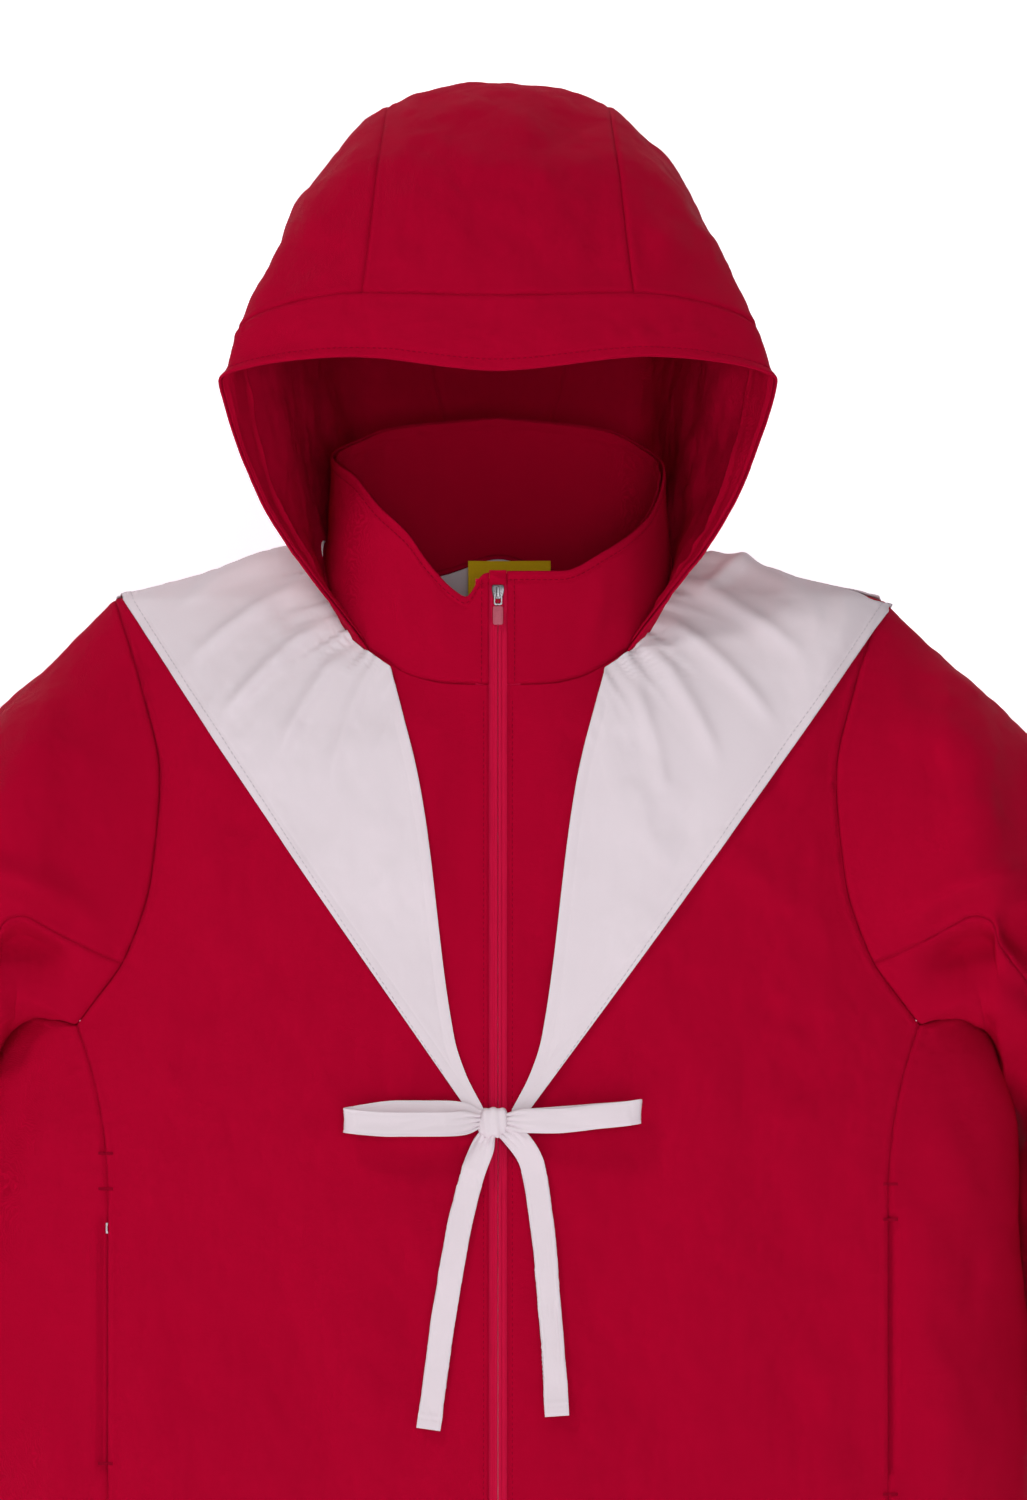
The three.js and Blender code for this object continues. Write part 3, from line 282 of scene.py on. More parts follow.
def cloth(name, g, normals, outer, inner, material, closed=False):
    """One closed piece of cloth between two offsets of a grid along its normals, mm."""
    outer, inner = (np.asarray(v, float)[..., None] if np.ndim(v) else v for v in (outer, inner))
    top, bottom = g + normals * outer, g + normals * inner
    rows, columns = g.shape[:2]
    points = np.concatenate([top.reshape(-1, 3), bottom.reshape(-1, 3)])
    index = np.arange(rows * columns).reshape(rows, columns)
    nxt = np.roll(index, -1, axis=1) if closed else index[:, 1:]
    cur = index if closed else index[:, :-1]
    a, b, c, d = cur[:-1], nxt[:-1], nxt[1:], cur[1:]
    n = rows * columns
    quads = [np.stack([a, b, c, d], -1).reshape(-1, 4)]
    quads.append(np.stack([a + n, d + n, c + n, b + n], -1).reshape(-1, 4))
    quads.append(np.stack([nxt[0], cur[0], cur[0] + n, nxt[0] + n], -1))
    quads.append(np.stack([cur[-1], nxt[-1], nxt[-1] + n, cur[-1] + n], -1))
    if not closed:
        first, last = index[:, 0], index[:, -1]
        quads.append(np.stack([first[:-1], first[1:], first[1:] + n, first[:-1] + n], -1))
        quads.append(np.stack([last[1:], last[:-1], last[:-1] + n, last[1:] + n], -1))
    quads = np.concatenate(quads)
    tri = np.concatenate([quads[:, [0, 1, 2]], quads[:, [0, 2, 3]]])
    a, b, c = (points[tri[:, k]] for k in range(3))
    volume = np.einsum("ij,ij->i", a, np.cross(b, c)).sum()
    if volume < 0:  # the faces would point inwards
        quads = quads[:, ::-1]
    return mesh_from(name, points, quads, material)


# ---------- materials ----------
def node_group(name, inputs, outputs):
    tree = bpy.data.node_groups.new(name, "ShaderNodeTree")
    for label, kind, value in inputs:
        socket = tree.interface.new_socket(label, in_out="INPUT", socket_type=kind)
        socket.default_value = value
    for label, kind in outputs:
        tree.interface.new_socket(label, in_out="OUTPUT", socket_type=kind)
    return tree, tree.nodes.new("NodeGroupInput"), tree.nodes.new("NodeGroupOutput")


def maths(tree, operation, a, b=0.0, clamp=False):
    node = tree.nodes.new("ShaderNodeMath")
    node.operation, node.use_clamp = operation, clamp
    for socket, value in zip(node.inputs, (a, b)):
        if isinstance(value, (int, float)):
            socket.default_value = value
        else:
            tree.links.new(value, socket)
    return node.outputs[0]


def noise_node(tree, vector, scale, detail, rough):
    node = tree.nodes.new("ShaderNodeTexNoise")
    node.inputs["Scale"].default_value = scale
    node.inputs["Detail"].default_value = detail
    node.inputs["Roughness"].default_value = rough
    tree.links.new(vector, node.inputs["Vector"])
    return node.outputs["Fac"]


def weave_group():
    """Plain weave: threads over and under, a little uneven, with a mottled colour."""
    inputs = [
        ("Color", "NodeSocketColor", (0.5, 0.5, 0.5, 1)),
        ("Dark", "NodeSocketColor", (0.4, 0.4, 0.4, 1)),
        ("Threads", "NodeSocketFloat", 900.0),
        ("Mottle", "NodeSocketFloat", 0.5),
    ]
    outputs = [
        ("Color", "NodeSocketColor"),
        ("Height", "NodeSocketFloat"),
        ("Roughness", "NodeSocketFloat"),
    ]
    tree, given, result = node_group("weave", inputs, outputs)
    where = tree.nodes.new("ShaderNodeTexCoord").outputs["Object"]
    wobble = tree.nodes.new("ShaderNodeTexNoise")
    wobble.inputs["Scale"].default_value = 120
    tree.links.new(where, wobble.inputs["Vector"])
    shift = tree.nodes.new("ShaderNodeVectorMath")
    shift.operation = "MULTIPLY_ADD"
    tree.links.new(wobble.outputs["Color"], shift.inputs[0])
    shift.inputs[1].default_value = (0.0012, 0.0012, 0.0012)
    tree.links.new(where, shift.inputs[2])
    parts = tree.nodes.new("ShaderNodeSeparateXYZ")
    tree.links.new(shift.outputs[0], parts.inputs[0])
    across = maths(tree, "ADD", parts.outputs["X"], parts.outputs["Y"])
    full_turns = maths(tree, "MULTIPLY", given.outputs["Threads"], 6.2832)
    warp = maths(tree, "SINE", maths(tree, "MULTIPLY", across, full_turns))
    weft = maths(tree, "SINE", maths(tree, "MULTIPLY", parts.outputs["Z"], full_turns))
    threads = maths(tree, "MULTIPLY", warp, weft)
    soft = noise_node(tree, where, 26, 4, 0.6)
    fine = noise_node(tree, where, 700, 3, 0.6)
    height = maths(tree, "ADD", maths(tree, "MULTIPLY", threads, 0.5), fine)
    crinkle = noise_node(tree, where, 75, 3, 0.55)
    height = maths(tree, "ADD", height, maths(tree, "MULTIPLY", crinkle, 3.0))
    tree.links.new(height, result.inputs["Height"])
    blend = tree.nodes.new("ShaderNodeMix")
    blend.data_type = "RGBA"
    tree.links.new(given.outputs["Color"], blend.inputs["A"])
    tree.links.new(given.outputs["Dark"], blend.inputs["B"])
    shade = maths(tree, "ADD", maths(tree, "MULTIPLY", soft, 0.7), maths(tree, "MULTIPLY", fine, 0.3))
    darker = maths(tree, "SUBTRACT", shade, 0.25)
    factor = maths(tree, "MULTIPLY", darker, given.outputs["Mottle"], clamp=True)
    tree.links.new(factor, blend.inputs["Factor"])
    tree.links.new(blend.outputs["Result"], result.inputs["Color"])
    tree.links.new(maths(tree, "MULTIPLY", soft, 0.16), result.inputs["Roughness"])
    return tree


WEAVE = weave_group()


def srgb(*rgb):
    return [*(((v / 255 + 0.055) / 1.055) ** 2.4 if v > 10.3 else v / 255 / 12.92 for v in rgb), 1.0]


def fabric(name, color, dark, threads, roughness, mottle, bump=0.15, bump_mm=0.15):
    """Matt woven cloth in two shades, with a number of threads per metre."""
    material = bpy.data.materials.new(name)
    material.use_nodes = True
    tree = material.node_tree
    shader = tree.nodes["Principled BSDF"]
    group = tree.nodes.new("ShaderNodeGroup")
    group.node_tree = WEAVE
    group.inputs["Color"].default_value = color
    group.inputs["Dark"].default_value = dark
    group.inputs["Threads"].default_value = threads
    group.inputs["Mottle"].default_value = mottle
    tree.links.new(group.outputs["Color"], shader.inputs["Base Color"])
    rough = maths(tree, "ADD", group.outputs["Roughness"], roughness - 0.08)
    tree.links.new(rough, shader.inputs["Roughness"])
    bumps = tree.nodes.new("ShaderNodeBump")
    bumps.inputs["Strength"].default_value = bump
    bumps.inputs["Distance"].default_value = bump_mm * MM
    tree.links.new(group.outputs["Height"], bumps.inputs["Height"])
    tree.links.new(bumps.outputs["Normal"], shader.inputs["Normal"])
    shader.inputs["Specular IOR Level"].default_value = 0.04
    return material


RED = fabric("shell_cloth", srgb(190, 0, 47), srgb(168, 0, 38), 1500, 0.72, 0.4, 0.8, 0.45)
# A darker copy of the shell red for the facings and other inside pieces: painted shade.
RED_SHADED_INSIDE = fabric("shell_cloth_inside_painted_shade", srgb(184, 0, 44), srgb(158, 0, 34), 1500, 0.75, 0.4, 0.8, 0.45)
PALE = fabric("tie_cloth", srgb(226, 214, 219), srgb(206, 194, 200), 1200, 0.72, 0.4)
LINING = fabric("lining_cloth", srgb(205, 196, 201), srgb(180, 170, 178), 1400, 0.6, 0.5)
TAPE = fabric("zip_tape", srgb(198, 18, 62), srgb(170, 8, 48), 1000, 0.8, 0.5, 0.5, 0.3)
THREAD = fabric("thread", srgb(160, 2, 40), srgb(112, 0, 26), 2500, 0.7, 0.8, 0.5)
PALE_THREAD = fabric("pale_thread", srgb(214, 204, 210), srgb(180, 170, 178), 2500, 0.7, 0.8, 0.5)
YELLOW = fabric("label_cloth", srgb(236, 200, 34), srgb(200, 162, 16), 1800, 0.75, 0.8, 0.5, 0.25)


def hard(name, color, dark, roughness, metallic, scale, bump=0.2):
    """A hard finish in two shades, with a fine grain."""
    material = bpy.data.materials.new(name)
    material.use_nodes = True
    tree = material.node_tree
    shader = tree.nodes["Principled BSDF"]
    where = tree.nodes.new("ShaderNodeTexCoord").outputs["Object"]
    grain = noise_node(tree, where, scale, 4, 0.6)
    blend = tree.nodes.new("ShaderNodeMix")
    blend.data_type = "RGBA"
    blend.inputs["A"].default_value = color
    blend.inputs["B"].default_value = dark
    tree.links.new(grain, blend.inputs["Factor"])
    tree.links.new(blend.outputs["Result"], shader.inputs["Base Color"])
    rough = maths(tree, "ADD", maths(tree, "MULTIPLY", grain, 0.2), roughness - 0.1)
    tree.links.new(rough, shader.inputs["Roughness"])
    shader.inputs["Metallic"].default_value = metallic
    bumps = tree.nodes.new("ShaderNodeBump")
    bumps.inputs["Strength"].default_value = bump
    bumps.inputs["Distance"].default_value = 0.1 * MM
    tree.links.new(grain, bumps.inputs["Height"])
    tree.links.new(bumps.outputs["Normal"], shader.inputs["Normal"])
    return material


METAL = hard("gunmetal", srgb(150, 148, 152), srgb(96, 94, 98), 0.34, 1.0, 900)
RUBBER = hard("puller_rubber", srgb(186, 84, 102), srgb(158, 62, 80), 0.6, 0.0, 600)
COIL = hard("zip_coil", srgb(178, 14, 54), srgb(140, 6, 38), 0.45, 0.0, 500)


# ---------- seams, stitches and folds ----------
def resample(line, step):
    line = np.asarray(line, float)
    length = np.concatenate([[0], np.cumsum(np.linalg.norm(np.diff(line, axis=0), axis=1))])
    count = max(2, int(round(length[-1] / step)) + 1)
    at = np.linspace(0, length[-1], count)
    return np.stack([np.interp(at, length, line[:, k]) for k in range(3)], -1), at


BATCH = 20000  # points measured at a time, to spare memory


def near(points, lines, step=2.0):
    """Distance from each point to the closest line, and how far along it that is."""
    shape = points.shape[:-1]
    flat = points.reshape(-1, 3)
    best, along = np.full(len(flat), 1e9), np.zeros(len(flat))
    offset = 0.0
    for line in lines:
        samples, at = resample(line, step)
        for start in range(0, len(flat), BATCH):
            part = flat[start : start + BATCH]
            d = ((part[:, None, :] - samples[None]) ** 2).sum(-1)
            k = d.argmin(1)
            dist = np.sqrt(d[np.arange(len(part)), k])
            batch = slice(start, start + len(part))
            better = dist < best[batch]
            best[batch] = np.where(better, dist, best[batch])
            along[batch] = np.where(better, at[k] + offset, along[batch])
        offset += at[-1] + 1000  # keeps the ripples of one line apart from the next
    return best.reshape(shape), along.reshape(shape)


def seam_relief(points, lines, pucker=0.7, reach=9.0, seed=5, groove=0.8, width=1.3):
    d, s = near(points, lines)
    ripple = noise(np.stack([s / 5.5, d / 30, np.zeros_like(s)], -1), seed)
    ripple = ripple + 0.6 * noise(np.stack([s / 13, d / 40, np.ones_like(s)], -1), seed + 1)
    relief = -groove * np.exp(-((d / width) ** 2)) + 0.35 * np.exp(-(((d - 3.4) / 1.8) ** 2))
    return relief + pucker * ripple * np.exp(-d / reach) * (1 - np.exp(-((d / 2.0) ** 2)))


def creases(points, marks):
    """Soft ridges, or hollows where the height is negative, along listed lines in x and z."""
    total = np.zeros(points.shape[:-1])
    x, z = points[..., 0], points[..., 2]
    for (ax, az), (bx, bz), width, height in marks:
        lx, lz = bx - ax, bz - az
        length = math.hypot(lx, lz)
        t = ((x - ax) * lx + (z - az) * lz) / length**2
        side = ((x - ax) * lz - (z - az) * lx) / length
        bow = 0.12 * length * np.sin(np.clip(t, 0, 1) * math.pi) * (1 if ax > 0 else -1) * 0.5
        side = side + bow
        taper = smooth(t * 3) * smooth((1 - t) * 3)
        total += height * taper * np.exp(-((side / width) ** 2))
    return total


def side_marks(marks, mirror, strength=1):
    return [((ax * mirror, az), (bx * mirror, bz), w, h * strength) for (ax, az), (bx, bz), w, h in marks]


stitches = {}


def stitch(group, line, normals, lift, length=2.6, gap=1.0, width=0.55, material=None):
    """A row of thread dashes along a line, lying on the cloth."""
    step = length + gap
    line = np.asarray(line, float)
    run = np.concatenate([[0], np.cumsum(np.linalg.norm(np.diff(line, axis=0), axis=1))])
    count = int(run[-1] // step)
    starts = np.arange(count) * step + gap / 2

    def at(s, values):
        return np.stack([np.interp(s, run, values[:, k]) for k in range(3)], -1)

    a, b = at(starts, line), at(starts + length, line)
    n = at(starts + length / 2, np.asarray(normals, float))
    n = n / np.maximum(1e-9, np.linalg.norm(n, axis=1, keepdims=True))
    way = b - a
    way = way / np.maximum(1e-9, np.linalg.norm(way, axis=1, keepdims=True))
    side = np.cross(way, n)
    rings = []
    for t, size, up in ((0.0, 0.35, -0.25), (0.2, 1.0, 0.12), (0.8, 1.0, 0.12), (1.0, 0.35, -0.25)):
        centre = a + (b - a) * t + n * (lift + up)
        for turn in (0, 90, 180, 270):
            wide, high = math.cos(math.radians(turn)), math.sin(math.radians(turn))
            rings.append(centre + (side * wide + n * high * 0.7) * width / 2 * size)
    points = np.stack(rings, 1)
    faces = []
    for r in range(3):
        for k in range(4):
            m = (k + 1) % 4
            faces.append([r * 4 + k, r * 4 + m, (r + 1) * 4 + m, (r + 1) * 4 + k])
    faces += [[3, 2, 1, 0], [12, 13, 14, 15]]
    faces = np.array(faces)
    store = stitches.setdefault(group, {"points": [], "faces": [], "n": 0, "material": material or THREAD})
    store["faces"].append((faces[None] + (np.arange(count) * 16)[:, None, None]).reshape(-1, 4) + store["n"])
    store["points"].append(points.reshape(-1, 3))
    store["n"] += count * 16


# ---------- body ----------
FINE = 1.0
armhole_x = through(
    [(-293, 262), (-280, 252), (-250, 231), (-200, 215), (-140, 210), (-80, 223), (-28, 240)]
)
NECK_SIDE = 101.9  # neck angle where the neck meets the shoulder


def clustered(count, first=True, last=True, share=0.12):
    """From 0 to 1, closer together at the ends where a seam needs detail."""
    t = np.linspace(0, 1, int(count / FINE) + 2)
    bend = np.zeros_like(t)
    if first:
        bend -= share * np.sin(np.clip(t * 2, 0, 1) * math.pi) / math.pi * 0.9
    if last:
        bend += share * np.sin(np.clip((1 - t) * 2, 0, 1) * math.pi) / math.pi * 0.9
    return np.clip(t + bend, 0, 1)


def top_edge(front):
    angles = np.linspace(3.03, NECK_SIDE, 90) if front else np.linspace(180, NECK_SIDE, 70)
    neck = neck_point(angles)
    neck[-1, 1] = 0
    x = np.linspace(neck[-1, 0], SHOULDER_HALF_WIDTH, 60)[1:]
    ridge = np.stack([x, np.zeros_like(x), ridge_z(x)], -1)
    z = -SHOULDER_DROP - (-SHOULDER_DROP - PRINCESS_TOP_Z) * np.linspace(0, 1, 110)[1:] ** 1.3
    arm = on_body(armhole_x(z), z, front)
    return neck, ridge, arm


def panel_grid(front, centre_x):
    neck, ridge, arm = top_edge(front)
    edge = np.concatenate([neck, ridge, arm])
    run = np.concatenate([[0], np.cumsum(np.linalg.norm(np.diff(edge, axis=0), axis=1))])
    u = clustered(150)
    top = np.stack([np.interp(u * run[-1], run, edge[:, k]) for k in range(3)], -1)
    spread = centre_x + (PRINCESS_X - centre_x) * u**0.85
    low_z = np.linspace(HEM_Z, POCKET_TOP_Z, int(85 / FINE))[:-1]
    low_x = np.broadcast_to(spread, (len(low_z), len(u)))
    share = 1 - (1 - np.linspace(0, 1, int(140 / FINE))) ** 1.35
    high_x = mix(spread[None], top[None, :, 0], share[:, None] ** 2.2)
    high_z = mix(POCKET_TOP_Z, top[None, :, 2], share[:, None])
    x = np.concatenate([low_x, high_x])
    z = np.concatenate([np.broadcast_to(low_z[:, None], low_x.shape), high_z])
    g = on_body(x, z, front)
    g[-1] = top
    return g


def side_grid(front_edge, back_edge):
    rise = np.clip((front_edge[:, 2] - POCKET_TOP_Z) / (PRINCESS_TOP_Z - POCKET_TOP_Z), 0, 1)
    turn = clustered(70) * 2 - 1
    z = front_edge[:, None, 2] + (UNDERARM_Z - PRINCESS_TOP_Z) * rise[:, None] * (1 - turn[None] ** 2)
    reach = front_edge[:, 0] / half_width(front_edge[:, 2])
    start = np.arccos(np.clip(reach, 0, 1) ** (ROUNDNESS / 2))
    angle = start[:, None] * np.abs(turn)[None]
    x = half_width(z) * np.cos(angle) ** (2 / ROUNDNESS)
    y = np.where(turn[None] < 0, -1, 1) * depth_at(x, z, turn[None] < 0)
    y = y * np.maximum(0, 1 - (x / half_width(z)) ** ROUNDNESS) ** (1 / ROUNDNESS)
    g = np.stack([x, y, z], -1)
    g[:, 0], g[:, -1] = front_edge, back_edge
    return g


front_grid = panel_grid(True, ZIP_OPENING)
back_half = panel_grid(False, 0.0)
side = side_grid(front_grid[:, -1], back_half[:, -1])
neck_f, ridge_f, arm_f = top_edge(True)
neck_b, ridge_b, arm_b = top_edge(False)
neck_all = np.concatenate([neck_f, neck_b[::-1]])
princess_f, princess_b = front_grid[:, -1], back_half[:, -1]
body_seams = [ridge_f, arm_f, arm_b, side[-1], princess_f, princess_b]
body_seams += [flip(line) for line in body_seams]
neck_line = np.concatenate([neck_all, flip(neck_all)[::-1]])

# Folds as (start, end, width, height) in x and z; negative heights are hollows.
BODY_MARKS = [
    ((-205, -262), (-120, -180), 11, 2.6),
    ((-212, -292), (-140, -262), 9, -2.2),
    ((-225, -318), (-150, -330), 10, 2.0),
    ((208, -235), (128, -160), 11, 2.4),
    ((214, -300), (150, -268), 9, -2.0),
    ((226, -330), (158, -352), 10, 2.0),
    ((-120, -420), (-60, -560), 16, 1.8),
    ((-200, -430), (-170, -600), 15, -1.8),
    ((95, -410), (130, -600), 17, 1.8),
    ((190, -420), (168, -590), 14, -1.8),
    ((-150, -360), (-25, -352), 12, 1.7),
    ((150, -350), (25, -352), 12, 1.7),
    ((-60, -380), (-24, -470), 10, 1.6),
    ((64, -376), (28, -480), 10, 1.6),
    ((-18, -420), (-60, -450), 7, 1.2),
    ((20, -500), (70, -520), 8, 1.3),
    ((-20, -560), (-90, -590), 8, 1.3),
    ((-262, -330), (-300, -420), 12, 3.0),
    ((262, -340), (300, -430), 12, 3.0),
    ((-276, -480), (-262, -620), 13, 2.4),
    ((276, -470), (262, -610), 13, 2.4),
]


def body_relief(g, seed=1):
    """How far the shell stands off its smooth form: folds, soft waves and puckered seams, mm."""
    p = g.reshape(-1, 3)
    q = p * np.array([1.0, 0.6, 0.45])
    wave = 4.2 * folds(q, 70, seed, 2) + 1.5 * folds(p * [1, 0.7, 0.8], 26, seed + 7, 3)
    wave = wave.reshape(g.shape[:-1])
    relief = wave + creases(g, BODY_MARKS) * np.where(g[..., 1] < 0, 1, 0.7)
    d, _ = near(g, body_seams, 4)
    centre = np.abs(g[..., 0])
    calm = smooth(d / 26) * np.where(g[..., 1] < 0, smooth((centre - 8) / 34), 1)
    dn, _ = near(g, [neck_line], 4)
    calm = calm * smooth(dn / 30) * mix(1, 0.3, smooth((g[..., 2] + 60) / 60))
    relief = relief * calm
    relief = relief + seam_relief(g, body_seams, 0.75, 11, seed + 20)
    placket = np.where(g[..., 1] < 0, np.exp(-((centre - ZIP_OPENING) / 9) ** 2), 0)
    ripple = noise(np.stack([g[..., 2] / 9, centre / 40, g[..., 0] * 0 + np.sign(g[..., 0])], -1), 31)
    relief = relief + placket * (0.5 + 0.5 * ripple)
    return relief - np.where(g[..., 1] < 0, 0.45 * np.exp(-(((centre - ZIP_OPENING - 3.2) / 0.8) ** 2)), 0)


def place(name, g, normals, relief, thickness, material, nodes, closed=False, base=0.0):
    """A piece of cloth with its outer face raised by the relief, in the place of its CAD nodes."""
    obj = cloth(name, g, normals, relief + base, relief + base - thickness, material, closed)
    if nodes:
        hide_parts(*nodes)
    return obj


def flat_size(g):
    """Width, length and area of the cut piece in metres, taken from its own grid."""
    rows = np.linalg.norm(np.diff(g, axis=1), axis=-1).sum(1).max()
    columns = np.linalg.norm(np.diff(g, axis=0), axis=-1).sum(0).max()
    a, b, c, d = g[:-1, :-1], g[1:, :-1], g[1:, 1:], g[:-1, 1:]
    halves = (np.cross(b - a, c - a), np.cross(c - a, d - a))
    area = (np.linalg.norm(halves[0], axis=-1).sum() + np.linalg.norm(halves[1], axis=-1).sum()) / 2
    return rows * MM, columns * MM, area * MM * MM


LEAST_FILL = 0.32  # the least share of its width times length that a cut piece's area is taken to fill


def declare(g):
    width, length, area = flat_size(g)
    area = min(area, width * length)
    if area < LEAST_FILL * width * length:
        width = area / (LEAST_FILL * length)


SHELL_MM = 1.4
for tag, mirror in SIDES:
    g = front_grid if mirror > 0 else flip(front_grid)[:, ::-1]
    node = f"front_panel_{tag}"
    obj = place(f"{node}_cloth", g, body_normal(g), body_relief(g), SHELL_MM, RED, [node])
    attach(obj, "jacket")
    declare(g)
    g = side if mirror > 0 else flip(side)[:, ::-1]
    relief = body_relief(g)
    mouth = np.exp(-(((np.abs(g[..., 0]) - PRINCESS_X - 3) / 3.5) ** 2)) * (g[..., 1] < 0)
    mouth = mouth * smooth((g[..., 2] - POCKET_BOTTOM_Z) / 12) * smooth((POCKET_TOP_Z - g[..., 2]) / 12)
    node = f"side_panel_{tag}"
    obj = place(f"{node}_cloth", g, body_normal(g), relief - 4.5 * mouth, SHELL_MM, RED, [node])
    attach(obj, "jacket")
    declare(g)
back_grid = np.concatenate([flip(back_half)[:, :0:-1], back_half], 1)
back_normals, back_relief = body_normal(back_grid), body_relief(back_grid)
obj = place("back_panel_cloth", back_grid, back_normals, back_relief, SHELL_MM, RED, ["back_panel"])
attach(obj, "jacket")
declare(back_grid)


# ---------- hood ----------
BRIM = 0.09  # the share of the hood's run that the brim band takes
HOOD_RUN, BRIM_STITCH = 560, 7.5  # mm from the brim's edge
# Share of the way back, then points from the cheek up to the crown's middle.
STATIONS = [
    (0, (148, -88, 34), (173, -110, 106), (92, -141, 120), (0, -150, 111)),
    (BRIM, (145, -77, 46), (161, -95, 136), (84, -127, 160), (0, -137, 158)),
    (0.25, (132, -47, 60), (141, -58, 172), (74, -70, 247), (0, -78, 255)),
    (0.45, (120, 4, 70), (130, 8, 184), (68, 8, 281), (0, 6, 294)),
    (0.65, (106, 56, 64), (112, 76, 166), (60, 88, 236), (0, 92, 246)),
    (0.84, (86, 92, 44), (82, 110, 108), (48, 122, 146), (0, 126, 150)),
]
HOOD_COLUMNS = (0, 0.3, 0.55, 0.8, 1)


def neck_outside(a):
    a = np.atleast_1d(np.asarray(a, float))
    p = neck_point(a)
    way = neck_point(np.minimum(180, a + 1)) - neck_point(a - 1)
    out = np.stack([-way[:, 1], way[:, 0], np.zeros(len(a))], -1)
    out /= np.linalg.norm(out, axis=1, keepdims=True)
    out[a > 179] = (0, 1, 0)
    out[(out[:, 0] * p[:, 0]) < -1e-9] *= -1
    return p + out * 1.9 + np.array([0, 0, -0.8])


def hood_surface(columns, shares):
    """Points on the hood for every share of the way back (rows) and column from cheek to cheek."""
    shares = np.asarray(shares, float)
    ends = neck_outside([158, 163, 167, 173, 180])
    knots = [neck_outside(47 + (158 - 47) * shares)]
    for k in range(1, 5):
        runs = [[(s[0], s[k][axis]) for s in STATIONS] + [(1, ends[k][axis])] for axis in range(3)]
        knots.append(np.stack([through(run)(shares) for run in runs], -1))
    rows = []
    at = list(HOOD_COLUMNS) + [2 - c for c in HOOD_COLUMNS[-2::-1]]
    for i in range(len(shares)):
        half = [k[i] for k in knots]
        full = half + [flip(v) for v in half[-2::-1]]
        runs = [list(zip(at, [v[axis] for v in full])) for axis in range(3)]
        rows.append(np.stack([through(run)(columns) for run in runs], -1))
    return np.array(rows)


brim_shares = np.linspace(0, BRIM, int(34 / FINE))[:-1]
crown_shares = BRIM + (1 - BRIM) * np.linspace(0, 1, int(190 / FINE))
all_shares = np.concatenate([brim_shares, crown_shares])
side_columns = 0.8 * clustered(110)
middle_columns = 0.8 + 0.4 * clustered(70)
all_columns = np.concatenate([side_columns[:-1], middle_columns[:-1], 2 - side_columns[::-1]])
hood = hood_surface(all_columns, all_shares)
normals = grid_normals(hood)
if normals[len(all_shares) // 2, len(all_columns) // 2, 2] < 0:
    normals = -normals
n_brim = int(np.argmin(np.abs(all_shares - BRIM)))
n_left, n_right = len(side_columns) - 1, len(side_columns) + len(middle_columns) - 2
hood_seams = [hood[n_brim], hood[n_brim:, n_left], hood[n_brim:, n_right]]
HOOD_MARKS = [
    ((-60, 250), (-52, 175), 9, -1.6),
    ((62, 262), (56, 180), 9, -1.6),
    ((-120, 235), (-96, 180), 9, 2.0),
    ((118, 232), (90, 172), 9, 2.0),
    ((-30, 245), (-12, 170), 10, 1.4),
    ((36, 250), (20, 175), 10, 1.4),
    ((-150, 150), (-60, 132), 8, 1.2),
    ((150, 148), (50, 130), 8, 1.2),
    ((-134, 50), (-112, -10), 9, 2.5),
    ((138, 60), (118, -20), 9, 2.8),
    ((120, 10), (128, -22), 6, 3.5),
]
relief = 2.6 * folds(hood.reshape(-1, 3), 55, 41, 2).reshape(hood.shape[:-1])
relief += 1.3 * folds(hood.reshape(-1, 3), 21, 45, 3).reshape(hood.shape[:-1])
relief += creases(hood, HOOD_MARKS)
d, _ = near(hood, hood_seams, 3)
relief = relief * smooth(d / 22) * mix(0.25, 1, smooth(all_shares / 0.03))[:, None]
cheek_fade = smooth(np.minimum(all_columns, 2 - all_columns) / 0.08)[None]
base_fade = smooth((1 - all_shares) / 0.08)[:, None] * cheek_fade
relief = relief * base_fade + seam_relief(hood, hood_seams, 0.7, 10, 51)
from_edge = all_shares[:, None] * HOOD_RUN
relief += 0.5 * np.exp(-((from_edge - 2) / 2.5) ** 2)
relief -= 0.5 * np.exp(-((from_edge - BRIM_STITCH) / 1.2) ** 2)
hood_relief = relief


def hood_part(name, rows, columns, nodes, extra=0.0, thickness=SHELL_MM, material=RED, base=0.0):
    g, n, r = hood[rows, columns], normals[rows, columns], hood_relief[rows, columns] + extra
    obj = place(name, g, n, r, thickness, material, nodes, base=base)
    declare(g)
    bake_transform(obj)
    return obj


crown = slice(n_brim, None)
hood_part("hood_brim_band_cloth", slice(0, n_brim + 1), slice(None), ["hood_brim_band"])
hood_part("hood_center_panel_cloth", crown, slice(n_left, n_right + 1), ["hood_center_panel"])
hood_part("hood_side_left_cloth", crown, slice(0, n_left + 1), ["hood_side_left"])
hood_part("hood_side_right_cloth", crown, slice(n_right, None), ["hood_side_right"])
n_face = int(np.argmin(np.abs(all_shares - BRIM * 1.05)))
face_rows, face_columns = np.arange(1, n_face)[:, None], np.arange(hood.shape[1])[3:-3][None]
back_edge = (n_face - 1 - face_rows) * FINE * 1.6
face_columns, back_edge = np.broadcast_arrays(face_columns, back_edge)
pucker = noise(np.stack([face_columns / 3.5 * FINE, back_edge / 9, back_edge * 0.0], -1), 57)
hood_part(
    "hood_brim_facing_cloth",
    slice(1, n_face),
    slice(3, -3),
    ["hood_brim_facing"],
    thickness=0.9,
    material=RED_SHADED_INSIDE,
    base=-SHELL_MM - 1.0,
    extra=-(1.1 + 1.1 * pucker) * np.exp(-back_edge / 9),
)


